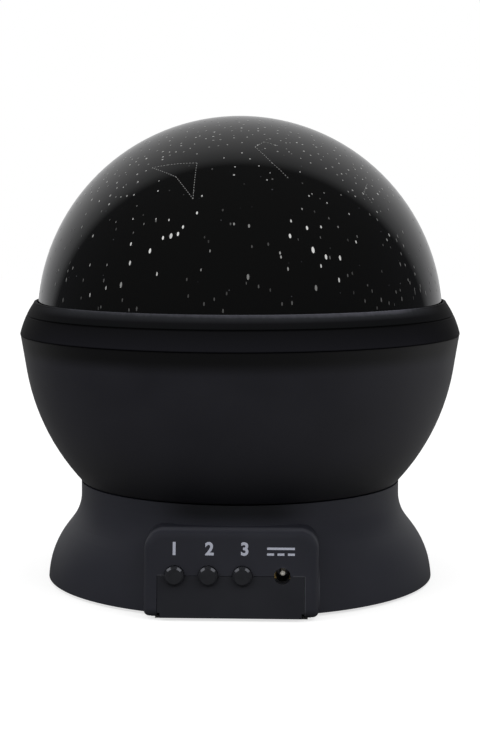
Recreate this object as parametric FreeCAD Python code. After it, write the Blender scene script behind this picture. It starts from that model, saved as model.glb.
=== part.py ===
import FreeCAD, Part
import math
import os

# Star-ball planetarium projector, in millimetres.
# A printed star dome and a bowl turn on a round battery base. Z is the turning
# axis, the button panel looks along -Y, and the rubber feet stand on z = 0.
# Every height below is counted from the lower edge of the base shell. The whole
# is lifted by the height of the feet when it is written out.

V = FreeCAD.Vector

# Base shell: a flared foot that runs into a straight neck
foot_stand = 0.8          # the feet hold the shell's edge this far off the table
base_r = 55.2             # radius at the lower edge
toe_angle = 3.0           # degrees, lean of the wall at the lower edge
flare_r = 24.8            # convex arc of the foot
neck_step = 9.55          # the neck stands this far inside the lower edge
neck_r = base_r - neck_step
neck_fillet_r = 12.7      # hollow arc that runs into the neck
neck_start = 23.9         # height where the neck becomes straight
neck_top = 27.5            # the seam under the bowl
base_wall = 2.0
neck_wall = 2.5
deck_under = 19.6         # underside of the deck that closes the base
deck_t = 2.0

# Front panel, a leaning block on the foot, split at the button line
panel_w = 45.6
panel_h = 22.1
panel_proud = 1.8         # the panel's lower edge stands out this far past the shell's
panel_foot_y = base_r + panel_proud
panel_lean = 4.0          # the top edge lies this much further back
panel_wall = 1.8
panel_corner_r = 5.0      # upper corners seen from the front
panel_foot_corner_r = 1.5    # lower corners
panel_round = 2.2         # rounding round the face
button_line = 10.8        # height of the buttons and the inlet, and of the split
tongue_w = 38.5           # width of the cover's upstand in the panel
split_gap = 0.12          # parting line round the upstand
tongue_relief_w = 0.7     # small open corners at the foot of the parting line
tongue_relief_h = 1.3
button_places = (-14.7, -5.9, 3.0)
inlet_x = 13.4

# Push buttons
button_d = 5.1
button_proud = 1.5
button_hole_gap = 0.1     # clearance round the button
button_travel = 0.5
button_flange_d = 6.7
button_flange_t = 1.0
button_flange_gap = 0.3   # from the flange to the inside of the panel
button_stem_d = 3.0
button_crown = 0.55       # bevel round the button's front

# Tact switches and control board
plunger_d = 3.4
plunger_proud = 1.3
plunger_bore_gap = 0.1
plunger_depth = 1.2       # how deep the plunger runs in the switch
switch_w = 6.0
switch_t = 3.6
board_t = 1.6
board_w = 40.0
board_top = 17.4
board_depth = 13.0        # the board's front face behind the panel's lower edge
board_setback = panel_foot_y - board_depth
chip_size = (5.0, 1.5, 6.2)
cap_d = 5.0
cap_len = 7.0
resistor_size = (3.2, 0.6, 1.6)
resistor_count = 4
resistor_spacing_share = 1.4
cap_bevel = 0.35          # on the capacitor's ends

# DC inlet, for a plug of 3.5 mm outside and 1.35 mm inside
inlet_hole_d = 4.3
inlet_bore_d = 3.9
inlet_bore_depth = 8.0
inlet_pin_d = 1.3
inlet_body_w = 7.2
inlet_body_h = 6.8
inlet_front_gap = 0.3     # from the inlet's front to the inside of the panel
pin_setback = 0.9         # the pin's tip lies this far behind the inlet's front

# Bottom cover, with the battery bay moulded on it
cover_t = 3.0
cover_gap = 0.2
foot_d = 9.0
foot_recess = 0.7
foot_inset = 9.7          # from the shell's edge to the middle of a foot
foot_place_r = base_r - foot_inset
foot_angles = (30.0, 150.0, 210.0, 330.0)
post_d = 6.4              # screw posts that hang from the deck
post_inset = 3.75         # from the neck to the middle of a screw post
post_place_r = neck_r - post_inset
post_angles = (55.0, 125.0, 235.0, 305.0)
screw_shank_d = 2.4
screw_head_d = 4.6
screw_head_h = 1.7
screw_len = 9.0
screw_cross_w = 0.7
screw_cross_depth = 0.8
cross_share = 0.6         # of the head's diameter
head_gap = 0.35           # round a screw head in its counterbore

# Battery bay: four AAA cells side by side
cell_d = 10.5
cell_len = 43.7
cell_nub_d = 3.8
cell_nub_h = 0.8
cell_pitch = 11.2
cell_count = 4
cell_lift = 0.4           # from the door to the cells
spring_len = 5.5
leaf_w = 5.0
plate_t = 0.4
plate_w = 8.4
plate_h = 6.0
bay_side_gap = 0.4
bay_wall = 1.2
bay_shift = 2.0           # the bay's middle lies this far behind the axis

# Battery door: two hooks at the back, one captive screw at the front
door_t = 1.6
door_lap = 1.5            # how far the door laps the bay's edge
door_gap = 0.25
hook_w = 2.2
hook_riser = 1.4
hook_lip = 2.1
hook_lip_t = 0.9
hook_gap = 0.25
hook_lead = 0.4           # bevel on the ledge that a hook's lip turns over
door_tab_r = 4.2
door_tab_t = 2.4
door_screw_shank_d = 2.0
door_screw_len = 3.4
door_screw_head_d = 4.0
door_screw_head_h = 1.1
door_screw_slack = 0.4    # round the captive screw's shank, so that it tips out
grip_rib_count = 5
grip_rib_t = 0.5
grip_rib_pitch = 1.6
grip_rib_len = 12.0

# Gear motor under the deck
gear_module = 0.8
ring_teeth = 60
pinion_teeth = 12
pressure_angle = 25.0
backlash = 0.12
tooth_clearance_share = 0.25    # of the module, under the tooth tips
case_w = 13.4
case_len = 18.0
case_h = 14.0
case_gap = 0.4            # from the battery bay to the gearbox
case_ear_len = 5.0
case_ear_t = 1.6
case_hub_d = 7.6
case_hub_proud = 0.4      # above the deck
motor_d = 10.8
motor_flat_w = 9.4
motor_len = 15.0
motor_shaft_cap_d = 4.0
motor_shaft_cap_h = 1.0
shaft_d = 3.0
shaft_gap = 0.05
shaft_depth = 6.0         # inside the gearbox
motor_screw_d = 2.0
motor_screw_head_d = 3.6
motor_screw_head_h = 1.4
motor_boss_d = 5.0
motor_boss_h = 1.0

# Lamp post, on which the bowl turns
post_tube_d = 12.0
post_bore_d = 8.0
post_flange_d = 22.0
post_flange_t = 2.0
post_top_drop = 7.4       # the post ends this far under the ball's middle
post_screw_place = 8.4
post_screw_d = 2.0
post_screw_head_d = 3.4
post_screw_head_h = 1.4
post_fit_gap = 0.1        # round the post in the deck and in the hub
washer_d = 19.0
washer_t = 0.8
washer_gap = 0.05
clip_d = 17.0
clip_t = 1.0
clip_groove_depth = 0.8
clip_gap = 0.1
clip_play = 0.3           # end play of the bowl under the clip
clip_mouth_share = 0.8    # of the groove's diameter

# Lamp board and its four diodes
lamp_board_d = 26.0
led_d = 5.0
led_rim_d = 5.8
led_rim_h = 1.0
led_body_h = 6.0
led_ring_r = 8.0
colour_led_count = 3
lead_d = 2.0
lead_bend_r = 5.0
lead_height = 16.0

# Bowl: the lower half of the ball
bowl_r = 61.7
bowl_wall = 2.0
bowl_seam_gap = 0.4       # running gap over the neck
bowl_edge_inset = 0.1     # the bowl's lower edge lies this far inside the neck's
seam = neck_top + bowl_seam_gap
bowl_mid = seam + math.sqrt(bowl_r ** 2 - (neck_r - bowl_edge_inset) ** 2)
bowl_flare = 0.8          # the rim stands out this far past the ball's curve
bowl_rim_r = bowl_r + bowl_flare
bowl_spigot_gap = 0.75    # running gap inside the neck
floor_drop = 2.0          # the floor hangs this far into the neck
floor_t = 2.0
hub_d = 18.0
hub_rise = 4.0            # above the floor
gear_face = 3.0
gear_web_t = 1.6
gear_rim_w = 4.6
gear_hub_gap = 0.1
pinion_face = 3.1
pinion_low = 0.8          # from the deck to the pinion
small_screw_d = 2.0
small_head_d = 3.8
small_head_h = 1.4
small_screw_len = 4.0
gear_screw_r = 14.0
small_boss_d = 5.0
screw_count = 3
tray_screw_r = 24.0
tray_rise_share = 0.3     # of the way from the floor to the ball's middle
tray_t = 1.5
tray_hole_r = 9.5
tray_flat_r = 31.0
tray_edge_drop = 15.4     # the tray's edge lies this far under the ball's middle
tray_edge_gap = 0.6
rim_boss_inset = 7.8      # from the ball's surface to the middle of a boss
rim_boss_r = bowl_r - rim_boss_inset
rim_boss_d = 5.6
rim_boss_depth = 13.0
rim_rib_t = 1.8

# Collar, dome ring and star dome
collar_proud = 0.1        # the collar stands out this far past the bowl's rim
collar_r = bowl_rim_r + collar_proud
collar_curve_r = 26.0
collar_side = 0.5         # short upright edge at the collar's foot
collar_t = 5.2            # from the bowl's surface to the collar's bore
collar_bore_r = bowl_r - collar_t
collar_spigot = 2.8
collar_spigot_gap = 0.2
collar_h = 5.6            # from the bowl's rim to the parting line under the ring
collar_lug_t = 1.6
shelf_drop = 2.0          # the dome's flange lies this far under the ring
line_groove = 0.22        # bevel along the parting lines
ring_h = 3.8
ring_shoulder_drop = 0.3  # from the ring's top to where its upper edge turns in
ring_shoulder_in = 3.9    # the ring has drawn in by this much there
ring_gap = 0.1            # from the dome to the ring's bore
ring_land = 0.55          # flat on top of the ring
ring_crown = 0.12         # how far the ring's upper edge bulges
dome_inset = 4.0          # the dome's radius is this much under the bowl's
dome_r = bowl_r - dome_inset
dome_lift = 3.87          # the dome's centre lies this far over the ball's middle
dome_t = 1.5
dome_flange_w = 1.3
dome_flange_gap = 0.12

overrun = 5.0             # how far cuts run past what they cut
up = V(0, 0, 1)
parts = {}


# Small helpers for outlines and plain forms

def point(r, z):
    return V(r, 0, z)


def line(a, b):
    return Part.makeLine(a, b)


def chain(points):
    return [line(a, b) for a, b in zip(points, points[1:])]


def arc(a, middle, b):
    return Part.Arc(a, middle, b).toShape()


def bow(a, b, height):
    """An arc from a to b that bulges by height to the left of the way."""
    way = b.sub(a)
    side = V(-way.z, 0, way.x).normalize()
    return arc(a, a.add(way.multiply(0.5)).add(side.multiply(height)), b)


def circle_point(centre, radius, angle):
    return centre.add(V(radius * math.cos(angle), 0, radius * math.sin(angle)))


def circle_arc(centre, radius, start, end):
    middle = (start + end) / 2
    ends = [circle_point(centre, radius, a) for a in (start, middle, end)]
    return arc(*ends)


def lathe(edges):
    face = Part.Face(Part.Wire(Part.__sortEdges__(edges)))
    return face.revolve(V(0, 0, 0), up, 360)


def ring(inner_r, outer_r, low, high):
    solid = Part.makeCylinder(outer_r, high - low, V(0, 0, low))
    if inner_r > 0:
        solid = solid.cut(Part.makeCylinder(inner_r, high - low, V(0, 0, low)))
    return solid


def rod(radius, x, y, low, high):
    return Part.makeCylinder(radius, high - low, V(x, y, low))


def rod_y(radius, x, z, front, back):
    return Part.makeCylinder(radius, back - front, V(x, front, z), V(0, 1, 0))


def block(x0, x1, y0, y1, z0, z1):
    return Part.makeBox(x1 - x0, y1 - y0, z1 - z0, V(x0, y0, z0))


def fuse(shapes):
    return shapes[0].multiFuse(list(shapes[1:])).removeSplitter()


def polar(radius, degrees):
    angle = math.radians(degrees)
    return radius * math.cos(angle), radius * math.sin(angle)


def ball_height_r(radius, middle, z):
    """Radius of a ball at the height z."""
    return math.sqrt(radius ** 2 - (z - middle) ** 2)


def screw(x, y, seat, head_d, head_h, shank_d, length, way=1):
    """A pan head under or over its seat, a shank, and a cross in the head."""
    head = Part.makeCylinder(head_d / 2, head_h, V(x, y, seat), V(0, 0, -way))
    rim = [e for e in head.Edges if len(e.Vertexes) == 1 and abs(e.CenterOfMass.z - seat) > head_h / 2]
    head = head.makeChamfer(head_h / 3, rim)
    shank = Part.makeCylinder(shank_d / 2, length, V(x, y, seat), V(0, 0, way))
    top = seat - way * head_h
    cross = []
    for turn in (0, 90):
        bar_len = cross_share * head_d
        bar = Part.makeBox(bar_len, screw_cross_w, screw_cross_depth * 2)
        bar.translate(V(-bar_len / 2, -screw_cross_w / 2, -screw_cross_depth))
        bar.rotate(V(0, 0, 0), up, turn)
        bar.translate(V(x, y, top))
        cross.append(bar)
    return fuse([head, shank]).cut(cross)


def keep(name, *solids):
    parts[name] = solids[0] if len(solids) == 1 else Part.makeCompound(list(solids))


# Base shell

flare_centre = point(base_r - flare_r * math.cos(math.radians(toe_angle)),
                     -flare_r * math.sin(math.radians(toe_angle)))
fillet_centre = point(neck_r + neck_fillet_r, neck_start)
reach = fillet_centre.sub(flare_centre)
tangent_angle = math.atan2(reach.z, reach.x) - math.acos((flare_r + neck_fillet_r) / reach.Length)


def flare_edges(inset, low, high):
    """Outline of the foot and neck, moved inwards by inset, from low to high."""
    outer_r = flare_r - inset
    hollow_r = neck_fillet_r + inset
    start = math.asin((low - flare_centre.z) / outer_r)
    toe = circle_point(flare_centre, outer_r, start)
    leave = circle_point(flare_centre, outer_r, tangent_angle)
    meet = circle_point(fillet_centre, -hollow_r, tangent_angle)
    finish = math.asin(min((fillet_centre.z - high) / hollow_r, 1)) if high < neck_start else 0
    neck = circle_point(fillet_centre, -hollow_r, finish)
    edges = [circle_arc(flare_centre, outer_r, start, tangent_angle), line(leave, meet),
             circle_arc(fillet_centre, -hollow_r, tangent_angle, finish)]
    head = point(neck.x, high)
    if high > neck_start:
        edges.append(line(neck, head))
    return toe, edges, head


def flare_solid(inset, low, high):
    toe, edges, head = flare_edges(inset, low, high)
    return lathe([line(point(0, low), toe)] + edges + [line(head, point(0, high)),
                                                       line(point(0, high), point(0, low))])


def panel_front(z):
    """Place in Y of the panel's face at the height z."""
    return -panel_foot_y + panel_lean * z / panel_h


def panel_solid(inset, top, back):
    """The leaning block of the panel, drawn in by inset."""
    half = panel_w / 2 - inset
    slant = inset * math.hypot(panel_h, panel_lean) / panel_h
    outline = [V(-half, panel_front(0) + slant, 0), V(-half, panel_front(top) + slant, top),
               V(-half, back, top), V(-half, back, 0)]
    face = Part.Face(Part.makePolygon(outline + outline[:1]))
    return face.extrude(V(2 * half, 0, 0))


def on_panel_face(edge):
    return all(abs(v.Point.y - panel_front(v.Point.z)) < panel_wall / 4 for v in edge.Vertexes)


def make_panel():
    solid = panel_solid(0, panel_h, -neck_r / 2)
    for height, radius in ((panel_h, panel_corner_r), (0, panel_foot_corner_r)):
        corners = [e for e in solid.Edges
                   if all(abs(v.Point.z - height) < panel_wall / 4 for v in e.Vertexes)
                   and abs(e.Vertexes[0].Point.x - e.Vertexes[1].Point.x) < panel_wall / 4]
        solid = solid.makeFillet(radius, corners)
    rim = [e for e in solid.Edges if on_panel_face(e) and max(v.Point.z for v in e.Vertexes) > 0]
    return solid.makeFillet(panel_round, rim)


collar_top = bowl_mid + collar_h
ring_top = collar_top + ring_h
ring_shoulder = ring_top - ring_shoulder_drop
ring_bore_r = dome_r + ring_gap
ring_top_r = ring_bore_r + ring_land
dome_mid = bowl_mid + dome_lift
dome_flange_r = dome_r + dome_flange_w
post_top = bowl_mid - post_top_drop
deck_top = deck_under + deck_t
spigot_r = neck_r - neck_wall - bowl_spigot_gap
centre_distance = gear_module * (ring_teeth + pinion_teeth) / 2
case_y = case_len / 2 + case_ear_len / 2


def make_base_shell():
    body = fuse([flare_solid(0, 0, neck_top), make_panel()])
    inside = flare_solid(base_wall, 0, deck_under)
    body = body.cut(inside).cut(panel_solid(panel_wall, deck_under, -neck_r / 2))
    body = body.cut(rod(neck_r - neck_wall, 0, 0, deck_top, neck_top + overrun))
    posts = [rod(post_d / 2, *polar(post_place_r, a), cover_t, deck_under) for a in post_angles]
    bosses = [rod(motor_boss_d / 2, centre_distance + motor_shift, side * case_y,
                  deck_top, deck_top + motor_boss_h) for side in (-1, 1)]
    body = fuse([body] + posts + bosses)
    cuts = [rod(screw_shank_d / 2, *polar(post_place_r, a), -overrun, door_t + screw_len)
            for a in post_angles]
    cuts += [rod(motor_screw_d / 2, centre_distance + motor_shift, side * case_y,
                 0, motor_screw_tip) for side in (-1, 1)]
    cuts.append(rod(post_tube_d / 2 + post_fit_gap, 0, 0, 0, deck_top + overrun))
    cuts += [rod(post_screw_d / 2, side * post_screw_place, 0, 0, deck_under + deck_t / 2)
             for side in (-1, 1)]
    cuts.append(rod(case_hub_d / 2 + post_fit_gap, centre_distance, 0, 0, deck_top + overrun))
    slot_back = panel_front(button_line) + 2 * panel_wall
    half = tongue_w / 2
    cuts.append(block(-half, half, panel_front(0) - overrun, slot_back, -overrun, button_line))
    cuts += [rod_y(button_d / 2 + button_hole_gap, x, button_line, panel_front(0), slot_back)
             for x in button_places]
    cuts.append(rod_y(inlet_hole_d / 2, inlet_x, button_line, panel_front(0), slot_back))
    return body.cut(cuts)


# Battery bay sizes, shared by the cover, the door and the cells

bay_half_w = (cell_count - 1) * cell_pitch / 2 + cell_d / 2 + bay_side_gap
bay_len = cell_len + cell_nub_h + spring_len + 2 * plate_t
bay_front = bay_shift - bay_len / 2
bay_back = bay_shift + bay_len / 2
cell_axis = door_t + cell_lift + cell_d / 2
bay_roof = cell_axis + cell_d / 2 + bay_side_gap
hook_x = cell_pitch
hook_top = cover_t + hook_gap + hook_lip_t
door_front = bay_front - door_lap
door_back = bay_back + door_lap
door_screw_y = door_front - door_gap
door_screw_seat = door_screw_head_h + grip_rib_t / 2
door_screw_tip = door_screw_seat + door_screw_len
motor_shift = bay_half_w + bay_wall + case_gap + case_w / 2 - centre_distance
motor_screw_len = case_ear_t + deck_t + motor_boss_h / 2
motor_screw_tip = deck_under - case_ear_t + motor_screw_len
cell_places = [(i - (cell_count - 1) / 2) * cell_pitch for i in range(cell_count)]


def make_bottom_cover():
    cover_r = flare_edges(base_wall, cover_t, deck_under)[0].x - cover_gap
    plate = rod(cover_r, 0, 0, 0, cover_t)
    inside = panel_wall + cover_gap
    front_plate = panel_solid(inside, cover_t, 0)
    tongue = panel_solid(0, button_line, panel_front(button_line) + panel_wall)
    half = tongue_w / 2 - split_gap
    tongue = tongue.common(block(-half, half, -base_r - overrun, 0, 0, button_line - split_gap))
    outer_x, outer_front = bay_half_w + bay_wall, bay_front - bay_wall
    bay = block(-outer_x, outer_x, outer_front, bay_back + bay_wall, 0, bay_roof + bay_wall)
    screw_boss = rod(door_tab_r, 0, door_screw_y, 0, door_screw_tip + door_screw_slack + bay_wall)
    body = fuse([plate, front_plate, tongue, bay, screw_boss])
    cuts = [block(-bay_half_w, bay_half_w, bay_front, bay_back, -overrun, bay_roof)]
    recess_x = bay_half_w + door_lap + door_gap
    cuts.append(block(-recess_x, recess_x, door_front - door_gap, door_back + door_gap,
                      -overrun, door_t + door_gap))
    cuts.append(rod(door_tab_r + door_gap, 0, door_screw_y, -overrun, door_tab_t + door_gap))
    cuts.append(rod(door_screw_shank_d / 2 + door_screw_slack, 0, door_screw_y, 0,
                    door_screw_tip + door_screw_slack))
    for side in (-1, 1):
        slot_half = hook_w / 2 + hook_gap
        cuts.append(block(side * hook_x - slot_half, side * hook_x + slot_half,
                          bay_back - hook_riser, bay_back + bay_wall + overrun,
                          cover_t, hook_top + hook_gap))
        ledge = [V(side * hook_x - slot_half, bay_back, cover_t - hook_lead),
                 V(side * hook_x - slot_half, bay_back + hook_lead, cover_t),
                 V(side * hook_x - slot_half, bay_back, cover_t)]
        bevel = Part.Face(Part.makePolygon(ledge + ledge[:1]))
        cuts.append(bevel.extrude(V(2 * slot_half, 0, 0)))
        corner = sorted((side * half, side * (half - tongue_relief_w)))
        cuts.append(block(*corner, -panel_foot_y - overrun, -panel_foot_y + 2 * panel_wall,
                          0, tongue_relief_h))
    cuts += [rod(foot_d / 2, *polar(foot_place_r, a), -overrun, foot_recess) for a in foot_angles]
    cuts += [rod(screw_head_d / 2 + head_gap, *polar(post_place_r, a), -overrun, door_t)
             for a in post_angles]
    cuts += [rod(screw_shank_d / 2, *polar(post_place_r, a), 0, cover_t + overrun)
             for a in post_angles]
    cuts += [rod_y(button_d / 2 + button_hole_gap, x, button_line, panel_front(0), -neck_r)
             for x in button_places]
    cuts.append(rod_y(inlet_hole_d / 2, inlet_x, button_line, panel_front(0), -neck_r))
    return body.cut(cuts)


def make_battery_door():
    half = bay_half_w + door_lap
    plate = block(-half, half, door_front, door_back, 0, door_t)
    uprights = [e for e in plate.Edges if abs(e.Vertexes[0].Point.z - e.Vertexes[1].Point.z) > door_t / 2]
    plate = plate.makeFillet(door_lap, uprights)
    pieces = [plate, rod(door_tab_r, 0, door_screw_y, 0, door_tab_t)]
    for side in (-1, 1):
        x0, x1 = side * hook_x - hook_w / 2, side * hook_x + hook_w / 2
        inner = bay_back - hook_gap
        pieces.append(block(x0, x1, inner - hook_riser, inner, door_t / 2, hook_top))
        pieces.append(block(x0, x1, inner - hook_riser, inner + hook_lip, hook_top - hook_lip_t, hook_top))
    door = fuse(pieces)
    cuts = [rod(door_screw_shank_d / 2, 0, door_screw_y, 0, door_tab_t),
            rod(door_screw_head_d / 2 + head_gap, 0, door_screw_y, -overrun, door_screw_seat)]
    for i in range(grip_rib_count):
        y = bay_front + grip_rib_pitch * (i + 3)
        cuts.append(block(-grip_rib_len / 2, grip_rib_len / 2, y - grip_rib_t / 2, y + grip_rib_t / 2,
                          -overrun, grip_rib_t / 2))
    return door.cut(cuts)


def make_cells():
    cells = []
    for i, x in enumerate(cell_places):
        start = bay_front + plate_t
        if i % 2:
            body = rod_y(cell_d / 2, x, cell_axis, start + cell_nub_h, start + cell_nub_h + cell_len)
            nub = rod_y(cell_nub_d / 2, x, cell_axis, start, start + cell_nub_h)
        else:
            body = rod_y(cell_d / 2, x, cell_axis, start + spring_len, start + spring_len + cell_len)
            nub = rod_y(cell_nub_d / 2, x, cell_axis, start + spring_len + cell_len,
                        start + spring_len + cell_len + cell_nub_h)
        rims = [e for e in body.Edges if len(e.Vertexes) == 1]
        cells.append(fuse([body.makeChamfer(bay_side_gap, rims), nub]))
    return cells


def make_springs():
    """Leaf springs, each an arched strip that presses on the flat end of its cell."""
    springs = []
    half_h = plate_h / 2
    for i, x in enumerate(cell_places):
        seat, way = (bay_back - plate_t, -1) if i % 2 else (bay_front + plate_t, 1)

        def side(reach, height):
            return V(x - leaf_w / 2, seat + way * reach, cell_axis + height)

        outer = arc(side(0, -half_h), side(spring_len, 0), side(0, half_h))
        inner = arc(side(0, half_h - plate_t), side(spring_len - plate_t, 0), side(0, plate_t - half_h))
        feet = [line(side(0, half_h), side(0, half_h - plate_t)),
                line(side(0, plate_t - half_h), side(0, -half_h))]
        face = Part.Face(Part.Wire([outer, feet[0], inner, feet[1]]))
        springs.append(face.extrude(V(leaf_w, 0, 0)))
    return springs


def make_contact_plates():
    """Two plates join the cells at the front, one joins the middle pair at the back."""
    low, high = cell_axis - plate_h / 2, cell_axis + plate_h / 2
    half = plate_w / 2
    front = [block(a - half, b + half, bay_front, bay_front + plate_t, low, high)
             for a, b in (cell_places[:2], cell_places[2:])]
    groups = ((cell_places[0],) * 2, cell_places[1:3], (cell_places[3],) * 2)
    back = [block(a - half, b + half, bay_back - plate_t, bay_back, low, high) for a, b in groups]
    return front + back


# Buttons, switches, board and inlet behind the panel

board_front = -board_setback
button_front = panel_front(button_line) - button_proud


def panel_inside(z):
    """Place in Y of the inside of the panel's front wall."""
    return panel_front(z) + panel_wall * math.hypot(panel_h, panel_lean) / panel_h


flange_front = panel_inside(button_line + button_flange_d / 2) + button_flange_gap
flange_back = flange_front + button_flange_t
switch_front = board_front - switch_t
plunger_front = switch_front - plunger_proud


def make_button(x):
    cap = rod_y(button_d / 2, x, button_line, button_front, flange_back)
    rim = [e for e in cap.Edges
           if abs(e.CenterOfMass.y - button_front) < button_crown and e.Length > button_d]
    cap = cap.makeChamfer(button_crown, rim)
    flange = rod_y(button_flange_d / 2, x, button_line, flange_front, flange_back)
    stem = rod_y(button_stem_d / 2, x, button_line, flange_back, plunger_front)
    return fuse([cap, flange, stem])


def make_plunger(x):
    return rod_y(plunger_d / 2, x, button_line, plunger_front, switch_front + plunger_depth)


def make_switch(x):
    half = switch_w / 2
    body = block(x - half, x + half, switch_front, board_front, button_line - half, button_line + half)
    well_depth = plunger_depth + button_travel + plunger_bore_gap
    return body.cut(rod_y(plunger_d / 2 + plunger_bore_gap, x, button_line,
                          switch_front, switch_front + well_depth))


def make_board():
    half = board_w / 2
    return block(-half, half, board_front, board_front + board_t, cover_t, board_top)


def make_chip():
    length, depth, height = chip_size
    x, back = button_places[0], board_front + board_t
    return block(x - length / 2, x + length / 2, back, back + depth, button_line - height / 2,
                 button_line + height / 2)


def make_board_parts():
    back = board_front + board_t
    body = rod_y(cap_d / 2, inlet_x, button_line, back, back + cap_len)
    rims = [e for e in body.Edges if len(e.Vertexes) == 1]
    solids = [body.makeChamfer(cap_bevel, rims)]
    length, depth, height = resistor_size
    for i in range(resistor_count):
        x = button_places[1] + i * length * resistor_spacing_share
        low = cover_t + 2 * height
        solids.append(block(x, x + length, back, back + depth, low, low + height))
    return solids


inlet_front = panel_inside(button_line + inlet_body_h / 2) + inlet_front_gap


def make_inlet():
    half_w, half_h = inlet_body_w / 2, inlet_body_h / 2
    body = block(inlet_x - half_w, inlet_x + half_w, inlet_front, board_front,
                 button_line - half_h, button_line + half_h)
    return body.cut(rod_y(inlet_bore_d / 2, inlet_x, button_line, inlet_front,
                          inlet_front + inlet_bore_depth))


def make_inlet_pin():
    tip = inlet_front + pin_setback
    pin = rod_y(inlet_pin_d / 2, inlet_x, button_line, tip, inlet_front + inlet_bore_depth)
    rim = [e for e in pin.Edges if abs(e.CenterOfMass.y - tip) < pin_setback and len(e.Vertexes) == 1]
    return pin.makeChamfer(inlet_pin_d / 4, rim)


# Gears

def involute(radius, circle_r):
    """Angle swept by the involute of circle_r where it reaches radius."""
    if radius <= circle_r:
        return 0
    return math.sqrt((radius / circle_r) ** 2 - 1) - math.acos(circle_r / radius)


def gear_solid(teeth, low, high, turn):
    """A spur gear with involute flanks. A tooth points along +X, turned by turn."""
    pitch_r = gear_module * teeth / 2
    circle_r = pitch_r * math.cos(math.radians(pressure_angle))
    tip_r = pitch_r + gear_module
    root_r = pitch_r - gear_module * (1 + tooth_clearance_share)
    half_tooth = (math.pi * gear_module - backlash) / (4 * pitch_r) + involute(pitch_r, circle_r)
    flank_r = max(root_r, circle_r)
    step = 2 * math.pi / teeth

    def at(radius, angle):
        return V(radius * math.cos(angle), radius * math.sin(angle), low)

    edges = []
    for i in range(teeth):
        middle = math.radians(turn) + i * step

        def flank(radius, side):
            return at(radius, middle + side * (half_tooth - involute(radius, circle_r)))

        radii = (flank_r, (flank_r + tip_r) / 2, tip_r)
        rise = [flank(r, -1) for r in radii]
        fall = [flank(r, 1) for r in reversed(radii)]
        foot_in, foot_out = at(root_r, middle - half_tooth), at(root_r, middle + half_tooth)
        if flank_r > root_r:
            edges.append(line(foot_in, rise[0]))
        edges += [arc(*rise), arc(rise[2], at(tip_r, middle), fall[0]), arc(*fall)]
        start = fall[2]
        if flank_r > root_r:
            edges.append(line(fall[2], foot_out))
            start = foot_out
        next_half = involute(flank_r, circle_r) if flank_r == root_r else 0
        finish = at(root_r, middle + step - half_tooth + next_half)
        edges.append(arc(start, at(root_r, middle + step / 2), finish))
    return Part.Face(Part.Wire(edges)).extrude(V(0, 0, high - low))


floor_under = seam - floor_drop
floor_top = floor_under + floor_t
hub_low = deck_top + washer_t + washer_gap
hub_top = floor_top + hub_rise
gear_low = floor_under - gear_face
web_low = floor_under - gear_web_t
screw_turns = [360 * i / screw_count for i in range(screw_count)]


def make_turntable_gear():
    gear = gear_solid(ring_teeth, gear_low, floor_under, 0)
    pocket_r = gear_module * ring_teeth / 2 - gear_rim_w
    cuts = [rod(pocket_r, 0, 0, gear_low, web_low),
            rod(hub_d / 2 + gear_hub_gap, 0, 0, gear_low, floor_under)]
    cuts += [rod(small_screw_d / 2, *polar(gear_screw_r, a), gear_low, floor_under) for a in screw_turns]
    return gear.cut(cuts)


pinion_bottom = deck_top + pinion_low


def make_pinion():
    pinion = gear_solid(pinion_teeth, pinion_bottom, pinion_bottom + pinion_face, 180 / pinion_teeth)
    pinion = pinion.cut(rod(shaft_d / 2, 0, 0, pinion_bottom, pinion_bottom + pinion_face))
    return pinion.translated(V(centre_distance, 0, 0))


def make_shaft():
    return rod(shaft_d / 2, centre_distance, 0, deck_under - shaft_depth, pinion_bottom + pinion_face)


# Gear motor

case_x = centre_distance + motor_shift
case_low = deck_under - case_h
motor_axis = deck_under - case_ear_t - motor_screw_head_h - head_gap - motor_d / 2


def make_gearbox():
    half = case_w / 2
    body = block(case_x - half, case_x + half, -case_len / 2, case_len / 2, case_low, deck_under)
    uprights = [e for e in body.Edges if abs(e.Vertexes[0].Point.z - e.Vertexes[1].Point.z) > case_h / 2]
    body = body.makeFillet(case_ear_t, uprights)
    ear_half = half - case_ear_t
    ears = block(case_x - ear_half, case_x + ear_half, -case_len / 2 - case_ear_len,
                 case_len / 2 + case_ear_len, deck_under - case_ear_t, deck_under)
    hub = rod(case_hub_d / 2, centre_distance, 0, deck_under, deck_top + case_hub_proud)
    cuts = [rod(shaft_d / 2 + shaft_gap, centre_distance, 0, deck_under - shaft_depth, deck_top + overrun)]
    cuts += [rod(motor_screw_d / 2, case_x, side * case_y, deck_under - case_ear_t, deck_under)
             for side in (-1, 1)]
    return fuse([body, ears, hub]).cut(cuts)


def make_motor():
    front = case_len / 2
    can = rod_y(motor_d / 2, case_x, motor_axis, front, front + motor_len)
    half = motor_flat_w / 2
    can = can.common(block(case_x - half, case_x + half, front, front + motor_len,
                           motor_axis - motor_d, motor_axis + motor_d))
    end = front + motor_len
    return fuse([can, rod_y(motor_shaft_cap_d / 2, case_x, motor_axis, end, end + motor_shaft_cap_h)])


# Lamp post and lamp

clip_low = hub_top + clip_play
tube_r = post_tube_d / 2
groove_r = tube_r - clip_groove_depth


def make_lamp_post():
    body = fuse([rod(post_flange_d / 2, 0, 0, deck_under - post_flange_t, deck_under),
                 rod(tube_r, 0, 0, deck_under - post_flange_t, post_top)])
    groove = ring(groove_r, post_flange_d / 2, clip_low - clip_gap, clip_low + clip_t + clip_gap)
    cuts = [rod(post_bore_d / 2, 0, 0, 0, post_top), groove]
    cuts += [rod(post_screw_d / 2, side * post_screw_place, 0, 0, deck_under) for side in (-1, 1)]
    return body.cut(cuts)


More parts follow.
